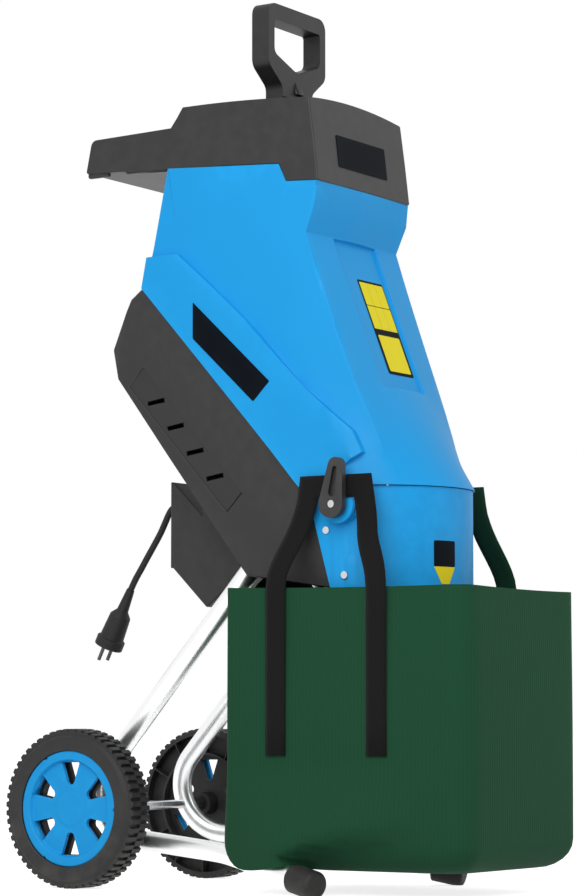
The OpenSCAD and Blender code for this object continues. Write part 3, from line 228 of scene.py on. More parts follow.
def build_edge_highlight():
    """Painted highlight: sharp outer edges made a little lighter, broken up by noise."""
    tree, given, out = start_group("Painted edge highlight", [("Reach", 0.54), ("Break up", 60.0)], ["Mask"])
    bend = tree.nodes.new("ShaderNodeNewGeometry").outputs["Pointiness"]
    edge = spread(tree, bend, 0.5, given.outputs["Reach"], 0.0, 1.0)
    speckle = cloud(tree, own_place(tree), given.outputs["Break up"], 4.0)
    broken = spread(tree, speckle, 0.35, 0.65, 0.25, 1.0)
    feed(tree, out, "Mask", reckon(tree, "MULTIPLY", edge, broken))
    return tree


def build_dust():
    """Pale dust that gathers low down."""
    tree, given, out = start_group("Ground dust", [("Height", 0.12), ("Patch scale", 26.0)], ["Mask"])
    place = own_place(tree)
    split = tree.nodes.new("ShaderNodeSeparateXYZ")
    feed(tree, split, 0, place)
    climb = reckon(tree, "DIVIDE", split.outputs["Z"], given.outputs["Height"])
    low = reckon(tree, "SUBTRACT", 1.0, climb)
    patch = cloud(tree, place, given.outputs["Patch scale"], 5.0, 0.6)
    patch = spread(tree, patch, 0.42, 0.75, 0.0, 1.0)
    clear = tree.nodes.new("ShaderNodeClamp")
    feed(tree, clear, 0, reckon(tree, "MULTIPLY", low, patch))
    feed(tree, out, "Mask", clear.outputs[0])
    return tree


def build_cloth():
    """Ribs along one way of the UV map and threads across them."""
    tree, given, out = start_group(
        "Ribbed cloth", [("Rib pitch", 0.005), ("Thread pitch", 0.0012)], ["Height", "Rib", "Fleck"])
    flat = tree.nodes.new("ShaderNodeTexCoord").outputs["UV"]
    split = tree.nodes.new("ShaderNodeSeparateXYZ")
    feed(tree, split, 0, flat)

    def wave(along, pitch):
        turn = reckon(tree, "DIVIDE", reckon(tree, "MULTIPLY", along, math.tau), pitch)
        return reckon(tree, "MULTIPLY_ADD", reckon(tree, "SINE", turn), 0.5, 0.5)

    rib = wave(split.outputs["X"], given.outputs["Rib pitch"])
    thread = wave(split.outputs["Y"], given.outputs["Thread pitch"])
    height = reckon(tree, "MULTIPLY_ADD", thread, 0.35, rib)
    feed(tree, out, "Height", height)
    feed(tree, out, "Rib", rib)
    feed(tree, out, "Fleck", cloud(tree, flat, 900.0, 2.0))
    return tree


def build_drawn():
    """Fine lines drawn along a metal surface."""
    tree, given, out = start_group(
        "Drawn metal", [("Line scale", 700.0), ("Stretch", 0.03)], ["Height", "Line"])
    mapping = tree.nodes.new("ShaderNodeMapping")
    feed(tree, mapping, "Vector", own_place(tree))
    size = tree.nodes.new("ShaderNodeCombineXYZ")
    feed(tree, size, "X", 1.0)
    feed(tree, size, "Y", given.outputs["Stretch"])
    feed(tree, size, "Z", given.outputs["Stretch"])
    feed(tree, mapping, "Scale", size.outputs[0])
    line = cloud(tree, mapping.outputs[0], given.outputs["Line scale"], 3.0, 0.6)
    feed(tree, out, "Height", line)
    feed(tree, out, "Line", line)
    return tree


# The group for edges paints a highlight on them
GROUPS = {"grain": build_grain, "edge_highlight": build_edge_highlight, "dust": build_dust, "cloth": build_cloth,
          "drawn": build_drawn}
built_groups = {}
finishes = {}


def place_group(tree, key, **values):
    """Puts one of the shared groups into a material, with its own values."""
    if key not in built_groups:
        built_groups[key] = GROUPS[key]()
    node = tree.nodes.new("ShaderNodeGroup")
    node.node_tree = built_groups[key]
    for label, value in values.items():
        node.inputs[label.replace("_", " ").capitalize()].default_value = value
    return node


def start_finish(name):
    """A new material with its Principled shader."""
    material = bpy.data.materials.new(name)
    material.use_nodes = True
    tree = material.node_tree
    finishes[name] = material
    return tree, tree.nodes["Principled BSDF"]


def tint(tree, mask, first, second):
    """A colour between two, by a mask."""
    node = tree.nodes.new("ShaderNodeMix")
    node.data_type = "RGBA"
    feed(tree, node, "Factor", mask)
    for socket, colour in (("A", first), ("B", second)):
        target = [s for s in node.inputs if s.name == socket and s.type == "RGBA"][0]
        if isinstance(colour, bpy.types.NodeSocket):
            tree.links.new(colour, target)
        else:
            target.default_value = (*colour, 1.0)
    return [s for s in node.outputs if s.type == "RGBA"][0]


def relief(tree, shader, height, distance, strength):
    """Bumps a finish by a height."""
    bump = tree.nodes.new("ShaderNodeBump")
    feed(tree, bump, "Strength", strength)
    feed(tree, bump, "Distance", distance)
    feed(tree, bump, "Height", height)
    feed(tree, shader, "Normal", bump.outputs["Normal"])


def scaled(colour, factor):
    """A lighter or darker colour."""
    return tuple(min(1.0, c * factor) for c in colour)


# Colour of the dust on wheels and rubber
DUST = (0.16, 0.15, 0.135)


def moulded(name, colour, gloss, grain_depth, highlight_gain=1.25, dusty=False, grain=1500.0, shine=0.35):
    """Moulded plastic or rubber: grain, slow gloss changes, a painted highlight on the edges and perhaps
    dust.
    """
    tree, shader = start_finish(name)
    skin = place_group(tree, "grain", grain_scale=grain, flow_scale=7.0)
    # Painted highlight: sharp edges are drawn lighter, by this mask and the edge factor
    painted_edge = place_group(tree, "edge_highlight", reach=0.56, break_up=60.0)
    body = tint(tree, skin.outputs["Flow"], scaled(colour, 0.985), scaled(colour, 1.015))
    body = tint(tree, painted_edge.outputs["Mask"], body, scaled(colour, highlight_gain))
    rough = spread(tree, skin.outputs["Flow"], 0.0, 1.0, gloss - 0.02, gloss + 0.02)
    if dusty:
        dust = place_group(tree, "dust", height=0.16, patch_scale=30.0)
        body = tint(tree, spread(tree, dust.outputs["Mask"], 0.0, 1.0, 0.0, 0.35), body, DUST)
        rough = reckon(tree, "MULTIPLY_ADD", dust.outputs["Mask"], 0.2, rough)
    feed(tree, shader, "Base Color", body)
    feed(tree, shader, "Roughness", rough)
    feed(tree, shader, "Specular IOR Level", shine)
    relief(tree, shader, skin.outputs["Height"], grain_depth, 0.6)


def metal(name, colour, gloss, line_scale=700.0, depth=0.000001):
    """Bare metal with drawn lines."""
    tree, shader = start_finish(name)
    drawn = place_group(tree, "drawn", line_scale=line_scale, stretch=0.03)
    feed(tree, shader, "Metallic", 1.0)
    line = drawn.outputs["Line"]
    feed(tree, shader, "Base Color", tint(tree, line, scaled(colour, 0.97), scaled(colour, 1.03)))
    feed(tree, shader, "Roughness", spread(tree, line, 0.25, 0.75, gloss - 0.03, gloss + 0.03))
    relief(tree, shader, drawn.outputs["Height"], depth, 0.3)


def woven(name, colour, rib_pitch, thread_pitch, depth, sheen):
    """Ribbed cloth or webbing."""
    tree, shader = start_finish(name)
    cloth = place_group(tree, "cloth", rib_pitch=rib_pitch, thread_pitch=thread_pitch)
    # Painted shade and highlight: the cloth is darker in the grooves between ribs and lighter on their
    # crests
    body = tint(tree, cloth.outputs["Rib"], scaled(colour, 0.95), scaled(colour, 1.03))
    fleck = cloth.outputs["Fleck"]
    body = tint(tree, spread(tree, fleck, 0.45, 0.8, 0.0, 0.5), body, scaled(colour, 1.3))
    feed(tree, shader, "Base Color", body)
    feed(tree, shader, "Roughness", spread(tree, fleck, 0.2, 0.8, 0.78, 0.9))
    feed(tree, shader, "Sheen Weight", sheen)
    feed(tree, shader, "Sheen Roughness", 0.4)
    feed(tree, shader, "Specular IOR Level", 0.15)
    relief(tree, shader, cloth.outputs["Height"], depth, 0.7)


def build_finishes(paint, sizes):
    """Every finish of the object, from the paint and sizes panels."""
    blue, black, green = tuple(paint.blue), tuple(paint.black), tuple(paint.green)
    # The edge factor of each moulded finish sets a painted highlight: how much lighter its edges are drawn
    moulded("blue_shell", blue, 0.48, 0.00002, highlight_gain=1.12, shine=0.18)
    moulded("black_shell", black, 0.46, 0.00005, highlight_gain=1.5)
    moulded("black_grip", scaled(black, 0.65), 0.5, 0.00006, highlight_gain=1.5)
    moulded("black_wheel", scaled(black, 0.75), 0.55, 0.00006, highlight_gain=1.4, dusty=True)
    moulded("black_rubber", scaled(black, 0.5), 0.62, 0.00005, highlight_gain=1.4, dusty=True, grain=900.0)
    moulded("lever_grey", scaled(black, 1.3), 0.42, 0.00003, highlight_gain=1.6)
    moulded("button_green", (0.02, 0.30, 0.07), 0.38, 0.00001)
    moulded("button_red", (0.52, 0.02, 0.02), 0.38, 0.00001)
    moulded("plate_black", (0.004, 0.006, 0.009), 0.45, 0.00001, highlight_gain=1.3, shine=0.03)
    moulded("plate_yellow", tuple(paint.yellow), 0.45, 0.00001, highlight_gain=1.02, shine=0.15)
    metal("tube_metal", tuple(paint.tube), 0.33)
    metal("dark_steel", (0.10, 0.10, 0.105), 0.35)
    metal("bright_steel", (0.62, 0.63, 0.65), 0.25)
    metal("cast_alloy", (0.55, 0.56, 0.57), 0.45, line_scale=350.0, depth=0.00002)
    metal("copper", (0.75, 0.40, 0.19), 0.30)
    woven("green_cloth", green, sizes.rib_pitch, 0.0011, 0.00014, 0.03)
    woven("black_webbing", tuple(paint.webbing), 0.0021, 0.0014, 0.0003, 0.05)
    woven("green_webbing", scaled(green, 0.55), 0.0021, 0.0014, 0.0003, 0.05)


# Which solids take which finish
NODE_FINISH = {
    "blue_shell": ["hopper_shell", "chute", "feed_baffle", "throat_plate", "left_wheel_trim",
                   "right_wheel_trim"],
    "black_shell": ["motor_housing", "hopper_cover", "switch_box", "switch_plate", "strap_peg",
                    "axle_spacers", "motor_top_bell", "motor_bottom_bell", "cooling_fan", "motor_pulley",
                    "spindle_pulley", "reset_button"],
    "black_grip": ["plunger"],
    "black_wheel": ["left_wheel", "right_wheel"],
    "black_rubber": ["left_foot_cap", "right_foot_cap", "cord_gland", "power_cord", "plug_body",
                     "drive_belt"],
    "lever_grey": ["lock_lever"],
    "button_green": ["on_button"],
    "button_red": ["off_button"],
    "tube_metal": ["left_frame_tube", "right_frame_tube"],
    "bright_steel": ["axle", "axle_clips", "frame_screws", "base_plate_screws", "hinge_pin", "chute_screws",
                     "spindle", "spindle_bearings", "knife_disc", "knives", "knife_bolts", "disc_nut",
                     "rotor_shaft", "counter_blade", "counter_blade_screws", "lock_screw", "motor_can"],
    "dark_steel": ["plug_pins"],
    "cast_alloy": ["base_plate", "stator", "armature"],
    "copper": ["commutator"],
    "green_cloth": ["catch_bag"],
    "black_webbing": ["left_strap"],
    "green_webbing": ["right_strap"],
}
finish_of = {node: finish for finish, members in NODE_FINISH.items() for node in members}


def body_of(node):
    """The moving body that carries a CAD node."""
    return nodes[node]["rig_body"]


def add_object(name, bm):
    """Turns a bmesh into an object of the scene."""
    mesh = bpy.data.meshes.new(name)
    bm.to_mesh(mesh)
    bm.free()
    made = bpy.data.objects.new(name, mesh)
    bpy.context.scene.collection.objects.link(made)
    return made


def smooth_faces(mesh, crease):
    """Smooth shading, with edges sharp past an angle in degrees."""
    mesh.shade_smooth()
    mesh.set_sharp_from_angle(angle=math.radians(crease))


def add_piece(name, bm, finish, body, crease=35.0):
    """Turns a bmesh into a finished piece that rides on a body."""
    piece = add_object(name, bm)
    smooth_faces(piece.data, crease)
    piece.data.materials.append(finishes[finish])
    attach(piece, body)
    return piece


def slice_through(bm, point, normal):
    """Adds edges where a plane crosses the mesh."""
    bmesh.ops.bisect_plane(bm, geom=bm.verts[:] + bm.edges[:] + bm.faces[:], dist=1e-6, plane_co=point,
                           plane_no=normal)


def merged_copy(node, join=0.00002, flat=0.6):
    """A bmesh of a CAD node with its loose triangles joined and flat faces made whole."""
    bm = bmesh.new()
    bm.from_mesh(nodes[node].data)
    bmesh.ops.remove_doubles(bm, verts=bm.verts, dist=join)
    bmesh.ops.dissolve_limit(bm, angle_limit=math.radians(flat), use_dissolve_boundaries=False,
                             verts=bm.verts, edges=bm.edges)
    return bm


def soften(bm, width, sharp=38.0, shortest=0.003, narrow=25.0, wide=150.0):
    """Rounds the longer sharp edges of a shell, but none that would run into a neighbour."""
    chosen = {e for e in bm.edges if e.is_manifold and e.calc_length() > shortest
              and e.calc_face_angle() > math.radians(sharp)}

    def cramped(edge):
        for loop in edge.link_loops:
            ahead = loop.link_loop_next
            for corner, beside in ((loop, loop.link_loop_prev.edge), (ahead, ahead.edge)):
                turn = math.degrees(corner.calc_angle())
                if turn < narrow or turn > wide and beside not in chosen:
                    return True
        return False

    dropped = [e for e in chosen if cramped(e)]
    while dropped:
        chosen.difference_update(dropped)
        dropped = [e for e in chosen if cramped(e)]
    bmesh.ops.bevel(bm, geom=list(chosen), offset=width, offset_type="OFFSET", affect="EDGES",
                    segments=2, profile=0.5, material=-1, clamp_overlap=False, loop_slide=True)


def smooth_through(points, steps):
    """Points of a smooth curve through the given ones."""
    ends = [points[0] * 2 - points[1], *points, points[-1] * 2 - points[-2]]
    found = []
    for a, b, c, d in zip(ends, ends[1:], ends[2:], ends[3:]):
        for k in range(steps):
            t = k / steps
            found.append(0.5 * (2 * b + (c - a) * t + (2 * a - 5 * b + 4 * c - d) * t * t
                                + (3 * b - a - 3 * c + d) * t ** 3))
    return found + [points[-1]]


def ease(value):
    """A soft step from 0 to 1."""
    t = min(1.0, max(0.0, value))
    return t * t * (3 - 2 * t)


class SHREDDER_OT_stage(bpy.types.Operator):
    """Sets up the camera, the lamps and the pale floor"""

    bl_idname = "shredder.stage"
    bl_label = "Stage"

    # Where the camera stands, and how far it looks round and up, in degrees
    CAMERA_AT = (-3175, -2286, 110)
    CAMERA_TURN, CAMERA_PITCH = 33.04, 5.24
    SENSOR = 36.0
    # Place and width of each lamp, and the point that both face, in metres
    KEY = ((-2.4, -0.9, 2.0), 2.4)
    FILL = ((1.6, -2.6, 1.5), 1.8)
    LIT_POINT = (0, 0, 0.55)
    FLOOR_HALF = 30.0
    FLOOR_GLOW = 0.8

    def execute(self, context):
        scene = context.scene
        stage = scene.shredder_stage
        scene.view_settings.view_transform = "Standard"
        lens = bpy.data.cameras.new("view")
        lens.lens = stage.lens
        lens.sensor_width = self.SENSOR
        camera = bpy.data.objects.new("view", lens)
        scene.collection.objects.link(camera)
        turn, pitch = math.radians(self.CAMERA_TURN), math.radians(self.CAMERA_PITCH)
        level = math.cos(pitch)
        forward = Vector((math.cos(turn) * level, math.sin(turn) * level, math.sin(pitch)))
        camera.location = at(*self.CAMERA_AT)
        camera.rotation_euler = forward.to_track_quat("-Z", "Y").to_euler()
        scene.camera = camera
        self.add_lamp(scene, "key", stage.key, *self.KEY)
        self.add_lamp(scene, "fill", stage.fill, *self.FILL)
        self.light_world(scene, stage.sky)
        self.lay_floor()
        return {"FINISHED"}

    def add_lamp(self, scene, name, power, place, size):
        """A square lamp that faces the object."""
        lamp = bpy.data.lights.new(name, "AREA")
        lamp.energy = power
        lamp.size = size
        holder = bpy.data.objects.new(name, lamp)
        scene.collection.objects.link(holder)
        holder.location = place
        ahead = Vector(self.LIT_POINT) - Vector(place)
        holder.rotation_euler = ahead.to_track_quat("-Z", "Y").to_euler()

    def light_world(self, scene, strength):
        """White where it is seen or mirrored, and a softer light from all round."""
        world = bpy.data.worlds.new("studio")
        scene.world = world
        world.use_nodes = True
        tree = world.node_tree
        shown = tree.nodes.new("ShaderNodeBackground")
        feed(tree, shown, "Color", (1, 1, 1, 1))
        lit = tree.nodes["Background"]
        feed(tree, lit, "Color", (1, 1, 1, 1))
        feed(tree, lit, "Strength", strength)
        path = tree.nodes.new("ShaderNodeLightPath")
        seen = path.outputs["Is Camera Ray"]
        for ray in ("Is Transmission Ray", "Is Glossy Ray"):
            seen = reckon(tree, "MAXIMUM", seen, path.outputs[ray])
        pick = tree.nodes.new("ShaderNodeMixShader")
        feed(tree, pick, "Fac", seen)
        feed(tree, pick, 1, lit.outputs[0])
        feed(tree, pick, 2, shown.outputs[0])
        tree.links.new(pick.outputs[0], tree.nodes["World Output"].inputs["Surface"])

    def lay_floor(self):
        """A pale floor that keeps the object's shadow."""
        bm = bmesh.new()
        bmesh.ops.create_grid(bm, x_segments=1, y_segments=1, size=self.FLOOR_HALF)
        floor = add_object("floor", bm)
        material = bpy.data.materials.new("pale_floor")
        material.use_nodes = True
        tree = material.node_tree
        shader = tree.nodes["Principled BSDF"]
        feed(tree, shader, "Base Color", (0.82, 0.82, 0.82, 1))
        feed(tree, shader, "Roughness", 0.9)
        feed(tree, shader, "Specular IOR Level", 0.0)
        feed(tree, shader, "Emission Color", (1, 1, 1, 1))
        path = tree.nodes.new("ShaderNodeLightPath")
        seen = reckon(tree, "MAXIMUM", path.outputs["Is Camera Ray"], path.outputs["Is Glossy Ray"])
        glow = reckon(tree, "MULTIPLY", seen, self.FLOOR_GLOW)
        feed(tree, shader, "Emission Strength", glow)
        floor.data.materials.append(material)


class SHREDDER_OT_finishes(bpy.types.Operator):
    """Makes the materials and gives every solid its finish"""

    bl_idname = "shredder.finishes"
    bl_label = "Finishes"

    def execute(self, context):
        build_finishes(context.scene.shredder_paint, context.scene.shredder_sizes)
        for node, solid in nodes.items():
            if node not in finish_of:
                raise RuntimeError(f"no finish is named for {node}")
            solid.data.materials.clear()
            solid.data.materials.append(finishes[finish_of[node]])
        return {"FINISHED"}


class SHREDDER_OT_mains_lead(bpy.types.Operator):
    """Lays the mains lead from its gland to the plug"""

    bl_idname = "shredder.mains_lead"
    bl_label = "Mains lead"

    # The lead's middle line from gland to plug, as y and z
    ROUTE = [(-45, 388), (-41, 387), (-37, 383.5), (-33, 377.5), (-28.5, 369), (-21.5, 356), (-11, 340),
             (0, 324), (10, 309), (19, 296), (27, 282)]

    def execute(self, context):
        d = context.scene.shredder_sizes.cord_d
        points = smooth_through([at(0, y, z) for y, z in self.ROUTE], 3)
        curve = bpy.data.curves.new("mains_lead", "CURVE")
        curve.dimensions = "3D"
        curve.bevel_depth = d / 2
        curve.bevel_resolution = 6
        curve.use_fill_caps = True
        spline = curve.splines.new("POLY")
        spline.points.add(len(points) - 1)
        for target, point in zip(spline.points, points):
            target.co = (*point, 1.0)
        lead = bpy.data.objects.new("mains_lead", curve)
        context.scene.collection.objects.link(lead)
        curve.materials.append(finishes["black_rubber"])
        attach(lead, "base")
        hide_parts("power_cord")
        return {"FINISHED"}


class SHREDDER_OT_moulded_shells(bpy.types.Operator):
    """Rounds the edges of the moulded shells, the lever and the pusher"""

    bl_idname = "shredder.moulded_shells"
    bl_label = "Moulded shells"

    # Each shell's rounding, as a share of the moulded edge
    SHELLS = {"hopper_shell": 1.0, "hopper_cover": 1.6, "motor_housing": 1.4, "switch_box": 1.6,
              "switch_plate": 0.8, "plunger": 1.6, "lock_lever": 0.8, "left_wheel_trim": 0.8,
              "right_wheel_trim": 0.8, "strap_peg": 0.8}
    # Cover's roof in the solids: its arch, the top of its sides, and the height below which it is kept
    ARCH_R, ARCH_RISE, ROOF_SIDE, ROOF_KEPT = 291.0, 22.0, 890.0, 862.0
    # How much of the arch is taken out, and how far the roof falls from one place to its front edge
    ARCH_CUT, FRONT_FALL, FALL_START, FALL_RUN = 0.65, 8.0, -150.0, 170.0
    # Slices across the roof, so that it can bend
    ROOF_SLICES = range(-330, -132, 14)
    # The pusher's collar, which is left alone: its place, half width, half depth and top
    COLLAR_Y, COLLAR_HALF_W, COLLAR_HALF_D, COLLAR_TOP = -222.0, 95.0, 40.0, 887.0
    # Just under the outside of the chute's round wall, and its middle
    CHUTE_R, CHUTE_Y = 119.2, -354.0
    # Pads on that wall: rows of points, first angle and sweep in degrees, and height
    PAD_ROWS = range(262, 313, 5)
    PAD_START, PAD_SWEEP, PAD_LIFT = 10.0, 12.0, 1.5
    # Back and front of the pads with the length of their slopes, then bottom and top with theirs
    PAD_BACK, PAD_FRONT, PAD_LOW, PAD_HIGH = (-376, 9), (-397, 8), (264, 8), (310, 8)
    # Bend and shape up to which the loft's triangles are joined, and bend of a real edge, in degrees
    JOIN_BEND, JOIN_SHAPE, EDGE_BEND = 25.0, 170.0, 24.0

    def execute(self, context):
        edge = context.scene.shredder_sizes.edge
        for node, share in self.SHELLS.items():
            bm = merged_copy(node)
            soften(bm, edge * share)
            if node == "hopper_cover":
                self.flatten_roof(bm)
            if node == "hopper_shell":
                self.hold_edges(bm)
            piece = add_piece(node + "_moulded", bm, finish_of[node], body_of(node))
            if node == "hopper_shell":
                fair = piece.modifiers.new("fair", "SUBSURF")
                fair.levels = fair.render_levels = 2
            flat = piece.modifiers.new("flat_faces", "WEIGHTED_NORMAL")
            flat.keep_sharp = True
            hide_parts(node)
        add_piece("chute_pads", self.pads(), finish_of["chute"], body_of("chute"))
        return {"FINISHED"}

    def pads(self):
        """Low swellings of the chute's round wall, where the housing's cheeks run close under it."""
        bm = bmesh.new()
        for side in (-1, 1):
            line = [bm.verts.new(at(side * self.CHUTE_R, self.CHUTE_Y, z)) for z in self.PAD_ROWS]
            bmesh.ops.rotate(bm, verts=line, cent=at(0, self.CHUTE_Y, 0),
                             matrix=Matrix.Rotation(math.radians(-self.PAD_START * side), 3, "Z"))
            edges = [bm.edges.new(pair) for pair in zip(line, line[1:])]
            bmesh.ops.spin(bm, geom=line + edges, cent=at(0, self.CHUTE_Y, 0), axis=(0, 0, 1),
                           angle=math.radians(-self.PAD_SWEEP * side), steps=16)
        for v in bm.verts:
            spot = place_of(v)
            lift = self.PAD_LIFT
            for edge, value, way in ((self.PAD_BACK, spot.y, -1), (self.PAD_FRONT, spot.y, 1),
                                     (self.PAD_LOW, spot.z, 1), (self.PAD_HIGH, spot.z, -1)):
                lift *= ease(way * (value - edge[0]) / edge[1])
            out = Vector((spot.x, spot.y - self.CHUTE_Y, 0)).normalized()
            v.co += 0.001 * lift * out
        bmesh.ops.recalc_face_normals(bm, faces=bm.faces)
        return bm

    def flatten_roof(self, bm):
        """Gives the cover a flatter roof that falls a little towards the front."""
        for y in self.ROOF_SLICES:
            slice_through(bm, at(0, y, 0), (0, 1, 0))
        for v in bm.verts:
            x, y, z = place_of(v)
            in_collar = abs(x) < self.COLLAR_HALF_W and abs(y - self.COLLAR_Y) < self.COLLAR_HALF_D
            if in_collar and z < self.COLLAR_TOP:
                continue
            arch = self.ARCH_RISE - self.ARCH_R + math.sqrt(self.ARCH_R ** 2 - x * x)
            share = (z - self.ROOF_KEPT) / (self.ROOF_SIDE + arch - self.ROOF_KEPT)
            ahead = max(0.0, (self.FALL_START - y) / self.FALL_RUN)
            fall = self.ARCH_CUT * arch + self.FRONT_FALL * ahead ** 2
            v.co.z -= 0.001 * fall * min(1.0, max(0.0, share))

    def hold_edges(self, bm):
        """Makes quads of the loft and holds its real edges, so that subdividing smooths the rest."""
        bmesh.ops.triangulate(bm, faces=[f for f in bm.faces if len(f.verts) > 4])
        bmesh.ops.join_triangles(bm, faces=bm.faces, angle_face_threshold=math.radians(self.JOIN_BEND),
                                 angle_shape_threshold=math.radians(self.JOIN_SHAPE))
        held = bm.edges.layers.float.new("crease_edge")
        for edge in bm.edges:
            if not edge.is_manifold or edge.calc_face_angle() > math.radians(self.EDGE_BEND):
                edge[held] = 1.0


class SHREDDER_OT_catch_bag(bpy.types.Operator):
    """Sews the catch bag from ribbed cloth and hangs it over the lower legs"""

    bl_idname = "shredder.catch_bag"
    bl_label = "Catch bag"

    # Rounding of the upright corners, front and back, and of the floor's edges, in metres
    CORNER = (0.028, 0.014)
    FOLD = 0.035
    # Slices: angles up the floor's rounding, heights, places along the bag, and shares of its width
    FOLD_ANGLES = (0, 15, 30, 45, 60, 75)
    HEIGHTS = [*range(-22, 63, 12), *range(80, 249, 24)]
    PLACES = [*range(-345, -232, 8), *range(-530, -379, 30)]
    SHARES = [k / 22 for k in range(-9, 10)]
    # Rim: sag of each side, rise to the back, and height of the back flap, in metres
    RIM_SAG, RIM_RISE, FLAP_TALL = 0.0018, 0.0035, 0.017
    # Where the flap begins and its half width, each with the length of its slope
    FLAP_BACK, FLAP_HALF = (-232, 12), (70, 10)
    # Middle line of the right lower leg, from behind the bag to its foot
    LEG = ((118.7, -150.0, -46.6), (128.4, -211.4, -51.8), (184.3, -400.0, -90.4))
    # The tube's radius, the cloth's room round it, the least room and the cutter's reach down, in metres
    TUBE_R, ROOM, LEAST_ROOM, LEG_DROP = 0.0125, 0.0015, 0.0003, 0.06
    # Where the cloth leaves the leg, over what length, and the height up to which that holds
    LEAVES, LEAVE_RUN, LEAVE_TOP = -308.0, 28.0, -58.0
    # Above that height the run grows and moves forward, each by a slope up to a limit
    RUN_GROWS, RUN_MOVES = (2.0, 90.0), (2.5, 80.0)
    # How much sooner the inner skin leaves the leg, in millimetres for each metre that it is set in
    INNER_LEAD = 1800
    # Top and height of the flare over the legs; how far from the middle it begins and its run, in metres
    FLARE_TOP, FLARE_TALL = 62.0, 112.0
    BESIDE, BESIDE_RUN = 0.09, 0.04
    # Lift of the hem by the feet, in metres, where it begins and its run
    HEM_LIFT, HEM_START, HEM_RUN = 0.006, -240.0, 78.0
    # How far the hollow is carried up past the rim, and how deep each side reaches in, in metres
    OVER, SIDE_DEEP = 0.04, 0.04
    # From this share of the half width on, the rim is a side's; from this slope on, a face is the floor's
    SIDE_SHARE, FLOOR_SLOPE = 0.97, 0.85

    def execute(self, context):
        sizes = context.scene.shredder_sizes
        low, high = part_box("catch_bag")
        low.x, high.x = -BAG_HALF, BAG_HALF
        wall = sizes.bag_wall
        outside = self.skin(low, high, 0.0, 0.0, sizes)
        bag = add_piece("bag_cloth", outside, "green_cloth", "base")
        hollow = add_object("bag_hollow", self.skin(low, high, wall, self.OVER, sizes))
        self.carve(context, hollow, add_object("leg_lining", self.legs(self.ROOM + wall)))
        self.carve(context, bag, hollow)
        self.carve(context, bag, add_object("leg_room", self.legs(self.LEAST_ROOM)))
        smooth_faces(bag.data, crease=60.0)
        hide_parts("catch_bag")
        return {"FINISHED"}

    def carve(self, context, target, cutter):
        """Takes one shape out of another and clears it away."""
        cut = target.modifiers.new("carve", "BOOLEAN")
        cut.operation = "DIFFERENCE"
        cut.solver = "MANIFOLD"
        cut.object = cutter
        shown = target.evaluated_get(context.evaluated_depsgraph_get())
        result = bpy.data.meshes.new_from_object(shown)
        target.modifiers.remove(cut)
        target.data = result
        bpy.data.objects.remove(cutter)

    def legs(self, room):
        """Both lower legs with room round them, carried down past the bag's floor."""
        bm = bmesh.new()
        for side in (-1, 1):
            line = [at(side * x, y, z) for x, y, z in self.LEG]
            ring = bmesh.ops.create_circle(
                bm, cap_ends=True, segments=32, radius=self.TUBE_R + room,
                matrix=Matrix.Translation(line[0]) @ Matrix.Rotation(math.pi / 2, 4, "X"))["verts"]
            lower = [v for v in ring if v.co.z < line[0].z]
            bmesh.ops.translate(bm, verts=lower, vec=(0, 0, -self.LEG_DROP))
            caps = [ring[0].link_faces[0]]
            for start, end in zip(line, line[1:]):
                made = bmesh.ops.extrude_face_region(bm, geom=caps[-1:])["geom"]
                caps += [g for g in made if isinstance(g, bmesh.types.BMFace)]
                bmesh.ops.translate(bm, verts=caps[-1].verts, vec=end - start)
            bmesh.ops.delete(bm, geom=caps[1:-1], context="FACES_ONLY")
        bmesh.ops.recalc_face_normals(bm, faces=bm.faces)
        return bm

    def skin(self, low, high, inset, over, sizes):
        """A closed skin of the bag, set in from its outside and carried up past its rim."""
        rim = high.z
        low = low + Vector((inset, inset, inset))
        high = high + Vector((-inset, -inset, over))
        middle, span = (low + high) / 2, high - low
        fold = self.FOLD - inset
        bm = bmesh.new()
        whole = Matrix.Translation(middle) @ Matrix.Diagonal((*span, 1.0))
        bmesh.ops.create_cube(bm, size=1.0, matrix=whole)
        uprights = [e for e in bm.edges if abs(e.verts[0].co.z - e.verts[1].co.z) > span.z / 2]
        for front, radius, rounds in ((True, self.CORNER[0], 6), (False, self.CORNER[1], 4)):
            chosen = [e for e in uprights if e.is_valid and (e.verts[0].co.y < middle.y) == front]
            bmesh.ops.bevel(bm, geom=chosen, offset=radius - inset, affect="EDGES", segments=rounds,
                            profile=0.5, material=-1)
        for angle in self.FOLD_ANGLES:
            height = low.z + fold - fold * math.sin(math.radians(angle))
            slice_through(bm, (0, 0, height), (0, 0, 1))
        for z in self.HEIGHTS:
            slice_through(bm, at(0, 0, z), (0, 0, 1))
        for share in self.SHARES:
            slice_through(bm, (middle.x + span.x * share, 0, 0), (1, 0, 0))
        for y in self.PLACES:
            slice_through(bm, at(0, y, 0), (0, 1, 0))
        self.belly(bm, low, Vector((high.x, high.y, rim)), fold, inset, sizes)
        self.unwrap(bm, low, high)
        bmesh.ops.recalc_face_normals(bm, faces=bm.faces)
        return bm

